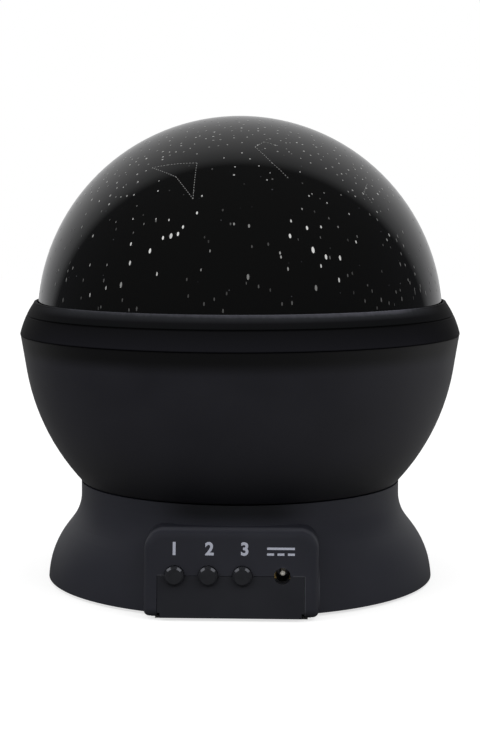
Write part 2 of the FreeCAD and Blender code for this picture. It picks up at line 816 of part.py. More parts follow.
def make_clip():
    clip = ring(groove_r, clip_d / 2, clip_low, clip_low + clip_t)
    half = clip_mouth_share * groove_r
    return clip.cut(block(-half, half, -clip_d, 0, clip_low, clip_low + clip_t))


def make_led(x, y):
    low = post_top + board_t
    body_r, top = led_d / 2, led_body_h
    outline = chain([point(0, 0), point(led_rim_d / 2, 0), point(led_rim_d / 2, led_rim_h),
                     point(body_r, led_rim_h), point(body_r, top)])
    outline.append(circle_arc(point(0, top), body_r, 0, math.pi / 2))
    outline.append(line(point(0, top + body_r), point(0, 0)))
    return lathe(outline).translated(V(x, y, low))


def make_leads():
    """The lamp's leads, bundled: down the post and forward to the board."""
    top, turn = V(0, 0, post_top), V(0, 0, lead_height + lead_bend_r)
    out = V(0, -lead_bend_r, lead_height)
    middle = V(0, -lead_bend_r * (1 - math.sqrt(0.5)), lead_height + lead_bend_r * (1 - math.sqrt(0.5)))
    end = V(0, board_front + board_t, lead_height)
    path = Part.Wire([line(top, turn), arc(turn, middle, out), line(out, end)])
    section = Part.Wire(Part.makeCircle(lead_d / 2, top, up))
    return path.makePipeShell([section], True, False)


# Ball: bowl, tray, collar, ring and dome

bowl_inner_r = bowl_r - bowl_wall
ball_centre = point(0, bowl_mid)
tray_low = floor_top + tray_rise_share * (bowl_mid - floor_top)
tray_edge = bowl_mid - tray_edge_drop
lug_top = bowl_mid + collar_lug_t


def around(solid):
    """The same solid at each screw place round the axis."""
    return [solid.rotated(V(0, 0, 0), up, a) for a in screw_turns]


def make_bowl():
    bore_r = tube_r + post_fit_gap
    hub_r = hub_d / 2
    step_r = spigot_r - floor_t
    step = seam + floor_t
    outer_low = -math.asin((bowl_mid - seam) / bowl_r)
    inner_low = -math.asin((bowl_mid - step) / bowl_inner_r)
    edges = chain([point(bore_r, hub_low), point(hub_r, hub_low), point(hub_r, floor_under),
                   point(spigot_r, floor_under), point(spigot_r, seam),
                   circle_point(ball_centre, bowl_r, outer_low)])
    flare_low = -math.acos(bowl_r / bowl_rim_r)
    edges.append(circle_arc(ball_centre, bowl_r, outer_low, flare_low))
    edges += chain([circle_point(ball_centre, bowl_r, flare_low), point(bowl_rim_r, bowl_mid),
                    point(bowl_inner_r, bowl_mid)])
    edges.append(circle_arc(ball_centre, bowl_inner_r, 0, inner_low))
    edges += chain([circle_point(ball_centre, bowl_inner_r, inner_low), point(step_r, step),
                    point(step_r, floor_top), point(hub_r, floor_top), point(hub_r, hub_top),
                    point(bore_r, hub_top), point(bore_r, hub_low)])
    body = lathe(edges)
    gear_bosses = around(rod(small_boss_d / 2, gear_screw_r, 0, floor_under, floor_top + floor_t))
    tray_posts = around(rod(small_boss_d / 2, tray_screw_r, 0, floor_under, tray_low))
    boss = rod(rim_boss_d / 2, rim_boss_r, 0, bowl_mid - rim_boss_depth, bowl_mid)
    rib = block(rim_boss_r, bowl_r, -rim_rib_t / 2, rim_rib_t / 2, bowl_mid - rim_boss_depth, bowl_mid)
    limit = Part.makeSphere(bowl_r - bowl_wall / 2, V(0, 0, bowl_mid))
    rim_bosses = around(fuse([boss, rib]).common(limit))
    body = fuse([body] + gear_bosses + tray_posts + rim_bosses)
    hole_r = small_screw_d / 2
    cuts = around(rod(hole_r, gear_screw_r, 0, floor_under, web_low + small_screw_len))
    cuts += around(rod(hole_r, tray_screw_r, 0, tray_low + tray_t - small_screw_len, tray_low))
    cuts += around(rod(hole_r, rim_boss_r, 0, lug_top - small_screw_len, bowl_mid))
    return body.cut(cuts)


def make_tray():
    edge_r = ball_height_r(bowl_inner_r, bowl_mid, tray_edge) - tray_edge_gap
    lower = [point(tray_hole_r, tray_low), point(tray_flat_r, tray_low), point(edge_r, tray_edge)]
    upper = [p.add(V(0, 0, tray_t)) for p in reversed(lower)]
    body = lathe(chain(lower + upper + lower[:1]))
    return body.cut(fuse(around(rod(small_screw_d / 2, tray_screw_r, 0, tray_low, tray_low + tray_t))))


curve_foot = point(collar_r, bowl_mid + collar_side)
curve_head = point(collar_r - ring_shoulder_in, ring_shoulder)
half_way = curve_head.sub(curve_foot).multiply(0.5)
sink = math.sqrt(collar_curve_r ** 2 - half_way.Length ** 2) / half_way.Length
curve_centre = curve_foot.add(half_way).add(V(-half_way.z * sink, 0, half_way.x * sink))


def curve_angle(z):
    return math.asin((z - curve_centre.z) / collar_curve_r)


def curve_point(z):
    return circle_point(curve_centre, collar_curve_r, curve_angle(z))


def curve_arc(low, high):
    return circle_arc(curve_centre, collar_curve_r, curve_angle(low), curve_angle(high))


shelf = collar_top - shelf_drop
parting_r = curve_point(collar_top).x - line_groove


def make_collar():
    spigot_out = ball_height_r(bowl_inner_r, bowl_mid, bowl_mid - collar_spigot) - collar_spigot_gap
    recess_r = dome_flange_r + dome_flange_gap
    low = bowl_mid - collar_spigot
    edges = chain([point(collar_bore_r, low), point(spigot_out, low), point(spigot_out, bowl_mid),
                   point(collar_r - line_groove, bowl_mid), point(collar_r, bowl_mid + line_groove),
                   curve_foot])
    edges.append(curve_arc(curve_foot.z, collar_top - line_groove))
    edges += chain([curve_point(collar_top - line_groove), point(parting_r, collar_top),
                    point(recess_r, collar_top), point(recess_r, shelf), point(collar_bore_r, shelf),
                    point(collar_bore_r, low)])
    body = lathe(edges)
    lugs = around(rod(rim_boss_d / 2, rim_boss_r, 0, bowl_mid, lug_top))
    body = fuse([body] + lugs)
    clear = fuse(around(rod(rim_boss_d / 2 + collar_spigot_gap, rim_boss_r, 0, low, bowl_mid)))
    holes = fuse(around(rod(small_screw_d / 2, rim_boss_r, 0, bowl_mid, lug_top)))
    ribs = fuse(around(block(rim_boss_r, bowl_r, -rim_rib_t / 2 - collar_spigot_gap,
                             rim_rib_t / 2 + collar_spigot_gap, low, bowl_mid)))
    return body.cut(clear).cut(holes).cut(ribs)


def make_dome_ring():
    edges = chain([point(ring_bore_r, collar_top), point(parting_r, collar_top),
                   curve_point(collar_top + line_groove)])
    edges.append(curve_arc(collar_top + line_groove, ring_shoulder))
    edges.append(bow(curve_head, point(ring_top_r, ring_top), -ring_crown))
    edges += chain([point(ring_top_r, ring_top), point(ring_bore_r, ring_top),
                    point(ring_bore_r, collar_top)])
    return lathe(edges)


def make_star_dome():
    centre = point(0, dome_mid)
    inner_r = dome_r - dome_t
    flange_top = collar_top - dome_flange_gap
    start = math.asin((flange_top - dome_mid) / dome_r)
    finish = math.asin((shelf - dome_mid) / inner_r)
    edges = chain([circle_point(centre, inner_r, finish), point(dome_flange_r, shelf),
                   point(dome_flange_r, flange_top), circle_point(centre, dome_r, start)])
    edges.append(circle_arc(centre, dome_r, start, math.pi / 2))
    edges.append(line(point(0, dome_mid + dome_r), point(0, dome_mid + inner_r)))
    edges.append(circle_arc(centre, inner_r, math.pi / 2, finish))
    return lathe(edges)


# The whole object, piece by piece

keep("base_shell", make_base_shell())
keep("bottom_cover", make_bottom_cover())
keep("rubber_feet", *[rod(foot_d / 2, *polar(foot_place_r, a), -foot_stand, foot_recess)
                      for a in foot_angles])
keep("cover_screws", *[screw(*polar(post_place_r, a), door_t, screw_head_d, screw_head_h - foot_stand / 2,
                             screw_shank_d, screw_len) for a in post_angles])
keep("battery_door", make_battery_door())
keep("door_screw", screw(0, door_screw_y, door_screw_seat, door_screw_head_d, door_screw_head_h,
                         door_screw_shank_d, door_screw_len))
keep("battery_cells", *make_cells())
keep("battery_springs", *make_springs())
keep("contact_plates", *make_contact_plates())
keep("control_board", make_board())
keep("control_chip", make_chip())
keep("board_parts", *make_board_parts())
keep("tact_switches", *[make_switch(x) for x in button_places])
for number, x in enumerate(button_places, 1):
    keep(f"button_{number}", make_button(x))
    keep(f"switch_plunger_{number}", make_plunger(x))
keep("dc_inlet", make_inlet())
keep("dc_inlet_pin", make_inlet_pin())
keep("gearbox_case", make_gearbox())
keep("motor_can", make_motor())
keep("motor_screws", *[screw(case_x, side * case_y, deck_under - case_ear_t, motor_screw_head_d,
                             motor_screw_head_h, motor_screw_d, motor_screw_len) for side in (-1, 1)])
keep("output_shaft", make_shaft())
keep("drive_pinion", make_pinion())
keep("lamp_post", make_lamp_post())
keep("post_screws", *[screw(side * post_screw_place, 0, deck_under - post_flange_t, post_screw_head_d,
                            post_screw_head_h, post_screw_d, post_flange_t + deck_t / 2)
                      for side in (-1, 1)])
keep("thrust_washer", ring(tube_r + post_fit_gap, washer_d / 2, deck_top, deck_top + washer_t))
keep("retaining_clip", make_clip())
keep("lamp_board", rod(lamp_board_d / 2, 0, 0, post_top, post_top + board_t))
keep("white_led", make_led(0, 0))
keep("colour_leds", *[make_led(*polar(led_ring_r, 360 * i / colour_led_count + 90))
                      for i in range(colour_led_count)])
keep("lamp_leads", make_leads())
keep("bowl", make_bowl())
keep("turntable_gear", make_turntable_gear())
keep("gear_screws", *around(screw(gear_screw_r, 0, web_low, small_head_d, small_head_h,
                                  small_screw_d, small_screw_len)))
keep("reflector_tray", make_tray())
keep("tray_screws", *around(screw(tray_screw_r, 0, tray_low + tray_t, small_head_d, small_head_h,
                                  small_screw_d, small_screw_len, -1)))
keep("collar", make_collar())
keep("collar_screws", *around(screw(rim_boss_r, 0, lug_top, small_head_d, small_head_h,
                                    small_screw_d, small_screw_len, -1)))
keep("dome_ring", make_dome_ring())
keep("star_dome", make_star_dome())

os.makedirs("parts", exist_ok=True)
for name, shape in parts.items():
    shape.translated(V(0, 0, foot_stand)).exportStep(f"parts/{name}.step")
    print(name, len(shape.Solids), "solids", round(shape.Volume, 1), "mm3", shape.isValid())
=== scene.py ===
import math
import random

import bmesh
import bpy
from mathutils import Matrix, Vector


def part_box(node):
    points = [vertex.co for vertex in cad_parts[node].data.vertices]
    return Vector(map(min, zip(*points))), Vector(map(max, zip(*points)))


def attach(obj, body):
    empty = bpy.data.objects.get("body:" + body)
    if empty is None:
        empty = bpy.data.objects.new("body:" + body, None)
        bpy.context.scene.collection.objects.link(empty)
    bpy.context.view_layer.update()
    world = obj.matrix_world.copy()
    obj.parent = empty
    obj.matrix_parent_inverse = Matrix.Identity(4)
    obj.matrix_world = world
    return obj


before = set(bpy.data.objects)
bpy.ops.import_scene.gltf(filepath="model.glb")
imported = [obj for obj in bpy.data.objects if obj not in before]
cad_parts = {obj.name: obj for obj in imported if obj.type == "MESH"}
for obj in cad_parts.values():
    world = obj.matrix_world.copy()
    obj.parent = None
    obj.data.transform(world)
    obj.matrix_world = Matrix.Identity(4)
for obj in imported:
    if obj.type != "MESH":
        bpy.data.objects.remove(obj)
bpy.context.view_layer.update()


# Studio
# A white sweep with the lens in front of it: the backdrop and the large overhead
# light wrap round the back and top, and the room in front of the object is dark.

MM = 0.001
PHOTO_WIDTH, PHOTO_HEIGHT = 480, 736
LENS_PX = 1756.2                  # focal length in the photo's own pixels
LENS_DISTANCE = 502.4 * MM        # from the turning axis
LENS_HEIGHT = 113.3 * MM          # above the table
LENS_TURN = math.radians(2.5)     # round the object, towards +X
LENS_PITCH = math.radians(6.05)   # downwards
SENSOR = 36.0


def linear(code):
    """An sRGB hex colour as linear RGBA."""
    values = [int(code[i:i + 2], 16) / 255 for i in (1, 3, 5)]
    return [v / 12.92 if v <= 0.04045 else ((v + 0.055) / 1.055) ** 2.4 for v in values] + [1.0]


def add(tree, kind, settings=(), links=()):
    """Adds a node to a tree, sets its properties or inputs, and links its inputs."""
    made = tree.nodes.new(kind)
    for name, value in dict(settings).items():
        if hasattr(made, str(name)):
            setattr(made, name, value)
        else:
            made.inputs[name].default_value = value
    for name, source in dict(links).items():
        tree.links.new(source, made.inputs[name])
    return made


def ramp(tree, source, stops):
    """A colour ramp from (place, hex colour) pairs."""
    made = add(tree, "ShaderNodeValToRGB", (), {"Fac": source})
    elements = made.color_ramp.elements
    while len(elements) < len(stops):
        elements.new(1.0)
    for element, (place, code) in zip(elements, stops):
        element.position, element.color = place, linear(code)
    return made.outputs["Color"]


camera_data = bpy.data.cameras.new("camera")
camera_data.sensor_width = SENSOR
camera_data.sensor_fit = "AUTO"
camera_data.lens = LENS_PX * SENSOR / PHOTO_HEIGHT
camera = bpy.data.objects.new("camera", camera_data)
camera.location = (LENS_DISTANCE * math.sin(LENS_TURN), -LENS_DISTANCE * math.cos(LENS_TURN), LENS_HEIGHT)
camera.rotation_euler = (math.pi / 2 - LENS_PITCH, 0, LENS_TURN)
bpy.context.collection.objects.link(camera)
bpy.context.scene.camera = camera
bpy.context.scene.view_settings.view_transform = "Standard"

world = bpy.data.worlds.new("studio")
bpy.context.scene.world = world
world.use_nodes = True
world.cycles.sampling_method = "NONE"   # each kind of ray gets its own light below
tree = world.node_tree
tree.nodes.clear()
BACKDROP_WAY = (-0.04, 0.97, 0.43)  # towards the backdrop, which leans over the object
# brightness of the sweep against how squarely a direction meets it
SWEEP = ((0.56, "#404145"), (0.66, "#9fa0a2"), (0.78, "#bfbfc1"), (0.9, "#cdcdce"), (1.0, "#cfcfd0"))
way = add(tree, "ShaderNodeTexCoord")
facing = add(tree, "ShaderNodeVectorMath", {"operation": "DOT_PRODUCT", 1: BACKDROP_WAY},
             {0: way.outputs["Generated"]})
surround = ramp(tree, facing.outputs["Value"], SWEEP)
LIGHT_LOW, LIGHT_HIGH = 0.34, 1.15  # of the soft light on matt surfaces, level and overhead
ray = add(tree, "ShaderNodeLightPath")
seen = add(tree, "ShaderNodeMath", {"operation": "MAXIMUM"},
           {0: ray.outputs["Is Camera Ray"], 1: ray.outputs["Is Transmission Ray"]})
rise = add(tree, "ShaderNodeSeparateXYZ", (), {"Vector": way.outputs["Generated"]})
overhead = add(tree, "ShaderNodeMapRange", {"To Min": LIGHT_LOW, "To Max": LIGHT_HIGH},
               {"Value": rise.outputs["Z"]})
soft = add(tree, "ShaderNodeMix", {"data_type": "RGBA"},
           {"Factor": ray.outputs["Is Diffuse Ray"], 6: surround, 7: overhead.outputs["Result"]})
shown = add(tree, "ShaderNodeMix", {"data_type": "RGBA"},
            {"Factor": seen.outputs["Value"], 6: soft.outputs[2]})
shown.inputs[7].default_value = linear("#ffffff")
sky = add(tree, "ShaderNodeBackground", {"Strength": 1.0}, {"Color": shown.outputs[2]})
add(tree, "ShaderNodeOutputWorld", (), {"Surface": sky.outputs["Background"]})


def lamp(name, place, target, size, power):
    """A large soft lamp that no polished surface shows as a spot."""
    data = bpy.data.lights.new(name, "AREA")
    data.shape = "DISK"
    data.size = size
    data.energy = power
    made = bpy.data.objects.new(name, data)
    made.location = place
    made.rotation_euler = (Vector(target) - Vector(place)).to_track_quat("-Z", "Y").to_euler()
    made.visible_glossy = False
    bpy.context.collection.objects.link(made)


LAMP_TARGET = (0, 0, 0.04)
LAMP_SIZE = 0.5
LAMP_POWER = 2.1
lamp("front_lamp_left", (-0.72, -0.5, 0.58), LAMP_TARGET, LAMP_SIZE, LAMP_POWER)
lamp("front_lamp_right", (0.66, -0.5, 0.75), LAMP_TARGET, LAMP_SIZE, LAMP_POWER)

# a pin spot that reaches into the DC inlet, whose hole the large lamps can't light
INLET_MOUTH = Vector((13.4, -55.0, 12.4)) * MM
SPOT_PLACE = INLET_MOUTH + Vector((10, -240, 30)) * MM
SPOT_POWER = 0.85
SPOT_ANGLE = math.radians(1)      # so narrow that it lights the bore and nothing beside it
spot_data = bpy.data.lights.new("inlet_spot", "SPOT")
spot_data.energy = SPOT_POWER
spot_data.spot_size = SPOT_ANGLE
spot_data.spot_blend = 1.0
spot_data.shadow_soft_size = 0.0
spot = bpy.data.objects.new("inlet_spot", spot_data)
spot.location = SPOT_PLACE
spot.rotation_euler = (INLET_MOUTH - SPOT_PLACE).to_track_quat("-Z", "Y").to_euler()
spot.visible_glossy = False
bpy.context.collection.objects.link(spot)

FLOOR_HALF = 1.5
floor_mesh = bpy.data.meshes.new("floor")
floor_mesh.from_pydata([(-FLOOR_HALF, -FLOOR_HALF, 0), (FLOOR_HALF, -FLOOR_HALF, 0),
                        (FLOOR_HALF, FLOOR_HALF, 0), (-FLOOR_HALF, FLOOR_HALF, 0)], [], [(0, 1, 2, 3)])
floor = bpy.data.objects.new("floor", floor_mesh)
bpy.context.collection.objects.link(floor)

GLOW_FROM, GLOW_FULL = 50.5 * MM, 52.0 * MM   # from the axis: the glow is left out under the foot, a painted shadow
GLOW = 0.68
NOTCH_HALF_X = 20 * MM            # and left out under the panel's lower corners, a painted shadow there too
NOTCH_Y, NOTCH_HALF_Y = -47 * MM, 6.7 * MM
BACK_WAY = (0.55, 1, 0)           # as seen in reflections, the paper is painted shade in front and painted light to the back and the right
NEAR, FAR = -0.15, 0.2            # metres along that way
NEAR_TONE, FAR_TONE = 0.08, 0.44
paper = bpy.data.materials.new("sweep_paper_matt")
paper.use_nodes = True
tree = paper.node_tree
tree.nodes.clear()
sheet = add(tree, "ShaderNodeBsdfDiffuse", {"Color": linear("#808080")})
shadow = add(tree, "ShaderNodeBsdfDiffuse", {"Color": linear("#b4b4b4")})
place = add(tree, "ShaderNodeTexCoord").outputs["Object"]
axes = add(tree, "ShaderNodeSeparateXYZ", (), {"Vector": place})
outwards = add(tree, "ShaderNodeVectorMath", {"operation": "LENGTH"}, {0: place})
# The glow is held back under the foot and the panel's lower corners: painted shadow on the floor.
glow_past_foot_shadow = add(tree, "ShaderNodeMapRange",
                    {"From Min": GLOW_FROM, "From Max": GLOW_FULL, "To Max": GLOW},
                    {"Value": outwards.outputs["Value"]})
sideways = add(tree, "ShaderNodeMath", {"operation": "COMPARE", 1: 0.0, 2: NOTCH_HALF_X},
               {0: axes.outputs["X"]})
forwards = add(tree, "ShaderNodeMath", {"operation": "COMPARE", 1: NOTCH_Y, 2: NOTCH_HALF_Y},
               {0: axes.outputs["Y"]})
notch_shadow = add(tree, "ShaderNodeMath", {"operation": "MULTIPLY"},
            {0: sideways.outputs["Value"], 1: forwards.outputs["Value"]})
clear = add(tree, "ShaderNodeMath", {"operation": "SUBTRACT", 0: 1.0}, {1: notch_shadow.outputs["Value"]})
lit = add(tree, "ShaderNodeMath", {"operation": "MULTIPLY"},
          {0: glow_past_foot_shadow.outputs["Result"], 1: clear.outputs["Value"]})
glow = add(tree, "ShaderNodeEmission", {"Color": linear("#ffffff")}, {"Strength": lit.outputs["Value"]})
both = add(tree, "ShaderNodeAddShader", (), {0: shadow.outputs["BSDF"], 1: glow.outputs["Emission"]})
ray = add(tree, "ShaderNodeLightPath")
# The paper's tone for reflections only: painted shade in front, painted light behind and to the right.
behind = add(tree, "ShaderNodeVectorMath", {"operation": "DOT_PRODUCT", 1: BACK_WAY}, {0: place})
reflected_floor_shade = add(tree, "ShaderNodeMapRange",
            {"From Min": NEAR, "From Max": FAR, "To Min": NEAR_TONE, "To Max": FAR_TONE},
            {"Value": behind.outputs["Value"]})
sheen = add(tree, "ShaderNodeBsdfDiffuse", (), {"Color": reflected_floor_shade.outputs["Result"]})
mirrored = add(tree, "ShaderNodeMixShader", (),
               {0: ray.outputs["Is Glossy Ray"], 1: sheet.outputs["BSDF"], 2: sheen.outputs["BSDF"]})
pick = add(tree, "ShaderNodeMixShader", (),
           {0: ray.outputs["Is Camera Ray"], 1: mirrored.outputs["Shader"], 2: both.outputs["Shader"]})
add(tree, "ShaderNodeOutputMaterial", (), {"Surface": pick.outputs["Shader"]})
floor_mesh.materials.append(paper)


# Base shell, bottom cover and battery door
# ABS mouldings screwed together from below and sprayed with a soft-touch lacquer: a
# blue-black that scatters light, over a fine spark-eroded grain, faintly clouded by hands.

def material(name):
    """An empty node material of this name, and its node tree."""
    made = bpy.data.materials.new(name)
    made.use_nodes = True
    made.node_tree.nodes.clear()
    return made, made.node_tree


def finish(tree, shader, bump=None):
    """Ends a material in its shader, with its bump if it has one."""
    if bump:
        tree.links.new(bump.outputs["Normal"], shader.inputs["Normal"])
    add(tree, "ShaderNodeOutputMaterial", (), {"Surface": shader.outputs["BSDF"]})


def dress(made, *nodes):
    """Gives these CAD nodes this material."""
    for node in nodes:
        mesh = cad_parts[node].data
        mesh.materials.clear()
        mesh.materials.append(made)


GRAIN = 0.3 * MM                  # real grain is 0.05 mm, drawn coarser to show
GRAIN_DEPTH = 0.02 * MM
CLOUD = 16 * MM
SCUFF = 1.3 * MM


def soft_touch(name, dark, light, *patches):
    """Soft-touch lacquer between two tones, with the tones of its patches where they are."""
    made, tree = material(name)
    place = add(tree, "ShaderNodeTexCoord").outputs["Object"]
    cloud = add(tree, "ShaderNodeTexNoise", {"Scale": 1 / CLOUD, "Detail": 3.0}, {"Vector": place})
    grain = add(tree, "ShaderNodeTexNoise", {"Scale": 1 / GRAIN, "Detail": 2.0}, {"Vector": place})
    tint = ramp(tree, cloud.outputs["Fac"], ((0.3, dark), (0.7, light)))
    rough = add(tree, "ShaderNodeMapRange", {"To Min": 0.46, "To Max": 0.6}, {"Value": cloud.outputs["Fac"]})
    relief = add(tree, "ShaderNodeBump", {"Strength": 0.3, "Distance": GRAIN_DEPTH},
                 {"Height": grain.outputs["Fac"]})
    for patch_at, patch in patches:
        shown = add(tree, "ShaderNodeMix", {"data_type": "RGBA"},
                    {"Factor": patch_at(tree, place), 6: tint})
        shown.inputs[7].default_value = linear(patch)
        tint = shown.outputs[2]
    body = add(tree, "ShaderNodeBsdfPrincipled", {"IOR": 1.46},
               {"Base Color": tint, "Roughness": rough.outputs["Result"]})
    finish(tree, body, relief)
    return made


TONGUE_HALF = 19.25 * MM          # the cover's upstand in the panel, from the middle to its side
SPLIT_Z = 11.6 * MM
SPLIT_HIGHLIGHT_WIDTH = 0.15 * MM
SPLIT_HIGHLIGHT_END = 1.6 * MM
PANEL_FRONT = -50 * MM            # all that lies further forward is the panel's front


def split_highlight(tree, place):
    """The upstand's right side and the two ends of its top, with a painted highlight along the split line."""
    axes = add(tree, "ShaderNodeSeparateXYZ", (), {"Vector": place})
    across = add(tree, "ShaderNodeMath", {"operation": "ABSOLUTE"}, {0: axes.outputs["X"]})
    masks = []
    for source, middle, half in ((axes.outputs["X"], TONGUE_HALF, SPLIT_HIGHLIGHT_WIDTH),
                                 (axes.outputs["Z"], SPLIT_Z / 2, SPLIT_Z / 2),
                                 (axes.outputs["Z"], SPLIT_Z, SPLIT_HIGHLIGHT_WIDTH),
                                 (across.outputs["Value"], TONGUE_HALF - SPLIT_HIGHLIGHT_END, SPLIT_HIGHLIGHT_END)):
        masks.append(add(tree, "ShaderNodeMath", {"operation": "COMPARE", 1: middle, 2: half}, {0: source}))
    side, top = [add(tree, "ShaderNodeMath", {"operation": "MULTIPLY"},
                     {0: masks[i].outputs["Value"], 1: masks[i + 1].outputs["Value"]}) for i in (0, 2)]
    both = add(tree, "ShaderNodeMath", {"operation": "MAXIMUM"},
               {0: side.outputs["Value"], 1: top.outputs["Value"]})
    front = add(tree, "ShaderNodeMath", {"operation": "LESS_THAN", 1: PANEL_FRONT}, {0: axes.outputs["Y"]})
    return add(tree, "ShaderNodeMath", {"operation": "MULTIPLY"},
               {0: both.outputs["Value"], 1: front.outputs["Value"]}).outputs["Value"]


PANEL_SIDE, PANEL_TOP = 22.8 * MM, 22.9 * MM
PANEL_CORNER = 5.0 * MM
RIM_HIGHLIGHT_WIDTH = 1.1 * MM
RIM_EDGE = 0.3 * MM               # the painted highlight ends this far outside the rim
RIM_BACK, RIM_FRONT = -46.5 * MM, -48.5 * MM  # where the panel leaves the flare
RIM_LOW, RIM_FULL = 2.0 * MM, 6.0 * MM        # over the table
FACE_Y, EDGE_Y = -52.3 * MM, -50.8 * MM       # the face is spared, its edge isn't
FACE_SHARE = 0.1


def panel_rim_highlight(tree, place):
    """The rounded rim of the panel, with a painted highlight."""
    axes = add(tree, "ShaderNodeSeparateXYZ", (), {"Vector": place})
    half = add(tree, "ShaderNodeMath", {"operation": "ABSOLUTE"}, {0: axes.outputs["X"]})
    flat = add(tree, "ShaderNodeCombineXYZ", (), {"X": half.outputs["Value"], "Z": axes.outputs["Z"]})
    corner = (PANEL_SIDE - PANEL_CORNER, 0, PANEL_TOP - PANEL_CORNER)
    offset = add(tree, "ShaderNodeVectorMath", {"operation": "SUBTRACT", 1: corner},
                 {0: flat.outputs["Vector"]})
    outer = add(tree, "ShaderNodeVectorMath", {"operation": "MAXIMUM", 1: (0, 0, 0)},
                {0: offset.outputs["Vector"]})
    apart = add(tree, "ShaderNodeVectorMath", {"operation": "LENGTH"}, {0: outer.outputs["Vector"]})
    on_panel = add(tree, "ShaderNodeMath", {"operation": "LESS_THAN", 1: PANEL_CORNER + RIM_EDGE},
                   {0: apart.outputs["Value"]})
    value = on_panel.outputs["Value"]
    for source, low, high, least in ((apart.outputs["Value"], PANEL_CORNER - RIM_HIGHLIGHT_WIDTH, PANEL_CORNER, 0),
                                     (axes.outputs["Y"], RIM_BACK, RIM_FRONT, 0),
                                     (axes.outputs["Z"], RIM_LOW, RIM_FULL, 0),
                                     (axes.outputs["Y"], FACE_Y, EDGE_Y, FACE_SHARE)):
        share = add(tree, "ShaderNodeMapRange", {"From Min": low, "From Max": high, "To Min": least},
                    {"Value": source})
        value = add(tree, "ShaderNodeMath", {"operation": "MULTIPLY"},
                    {0: value, 1: share.outputs["Result"]}).outputs["Value"]
    return value


NECK_SHADE_HALF, NECK_SHADE_FULL = 25 * MM, 9 * MM        # from the middle: where the painted shade begins, and is darkest
NECK_SHADE_RISE = 3.2 * MM              # over the panel's top
NECK_SHADE_MOST = 0.82


def neck_shade(tree, place):
    """The neck over the panel, darkened with painted shade under the bowl."""
    axes = add(tree, "ShaderNodeSeparateXYZ", (), {"Vector": place})
    half = add(tree, "ShaderNodeMath", {"operation": "ABSOLUTE"}, {0: axes.outputs["X"]})
    across = add(tree, "ShaderNodeMapRange",
                 {"interpolation_type": "SMOOTHSTEP", "From Min": NECK_SHADE_HALF, "From Max": NECK_SHADE_FULL},
                 {"Value": half.outputs["Value"]})
    over = add(tree, "ShaderNodeMapRange",
               {"From Min": PANEL_TOP, "From Max": PANEL_TOP + NECK_SHADE_RISE, "To Max": NECK_SHADE_MOST},
               {"Value": axes.outputs["Z"]})
    front = add(tree, "ShaderNodeMapRange", {"From Min": RIM_FRONT, "From Max": RIM_BACK},
                {"Value": axes.outputs["Y"]})
    before = add(tree, "ShaderNodeMath", {"operation": "LESS_THAN", 1: 0.0}, {0: axes.outputs["Y"]})
    value = across.outputs["Result"]
    for share in (over.outputs["Result"], front.outputs["Result"], before.outputs["Value"]):
        value = add(tree, "ShaderNodeMath", {"operation": "MULTIPLY"}, {0: value, 1: share}).outputs["Value"]
    return value


# Painted highlight along the split line, on the shell and on the cover.
SPLIT_HIGHLIGHT = "#4a4b51"
# The shell gets a painted highlight on the panel's rim and painted shade on the neck over the panel.
shell_finish = soft_touch("soft_touch_abs_matt", "#292a32", "#2d2e36", (split_highlight, SPLIT_HIGHLIGHT),
                          (panel_rim_highlight, "#47484f"), (neck_shade, "#131417"))
dress(shell_finish, "base_shell")
# The cover and door take the same lacquer in darker tones: painted shade, for the lower part of the panel.
cover_shaded_finish = soft_touch("soft_touch_cover_abs_matt_shaded", "#24252b", "#28292f", (split_highlight, SPLIT_HIGHLIGHT))
dress(cover_shaded_finish, "bottom_cover", "battery_door")


# Bowl
# The lower half of the ball, moulded in the same ABS and sprayed with the same lacquer
# as the foot, in tones a shade darker.

bowl_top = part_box("bowl")[1][2]
SEAM_Z = 28.7 * MM                # where the bowl meets the neck
RIM_BAND_END, RIM_BAND_START = 6.6 * MM, 2.2 * MM  # below the bowl's top
SEAM_BAND = 16.0 * MM
SEAM_SHARE = 0.64
RIM_GROOVE_DEPTH = 0.24 * MM


def bowl_band_shade(tree, place):
    """The bands under the collar and over the seam, darkened with painted shade."""
    height = add(tree, "ShaderNodeSeparateXYZ", (), {"Vector": place})
    bands = [add(tree, "ShaderNodeMapRange",
                 {"interpolation_type": "SMOOTHSTEP", "From Min": start, "From Max": end, "To Max": most},
                 {"Value": height.outputs["Z"]})
             for start, end, most in ((bowl_top - RIM_BAND_END, bowl_top - RIM_BAND_START, 1.0),
                                      (SEAM_Z + SEAM_BAND, SEAM_Z, SEAM_SHARE))]
    return add(tree, "ShaderNodeMath", {"operation": "MAXIMUM"},
               {0: bands[0].outputs["Result"], 1: bands[1].outputs["Result"]}).outputs["Value"]


def rim_groove_shade(tree, place):
    """The bowl's uppermost edge, in the groove under the collar, darkened with painted shade."""
    height = add(tree, "ShaderNodeSeparateXYZ", (), {"Vector": place})
    return add(tree, "ShaderNodeMath", {"operation": "GREATER_THAN", 1: bowl_top - RIM_GROOVE_DEPTH},
               {0: height.outputs["Z"]}).outputs["Value"]


# Painted shade in bands under the collar and over the seam, and on the edge in the groove.
ball_finish = soft_touch("bowl_soft_touch_abs_matt", "#23232a", "#28282f", (bowl_band_shade, "#0f0f11"),
                         (rim_groove_shade, "#08080a"))
dress(ball_finish, "bowl")


# Collar and dome ring
# The rim of the ball, two ABS mouldings with a satin skin: the collar is screwed to the
# bowl, and the ring over it clamps the dome. The ring's upper edge has a painted highlight,
# and the sides and the grooves between the parts have painted shade.

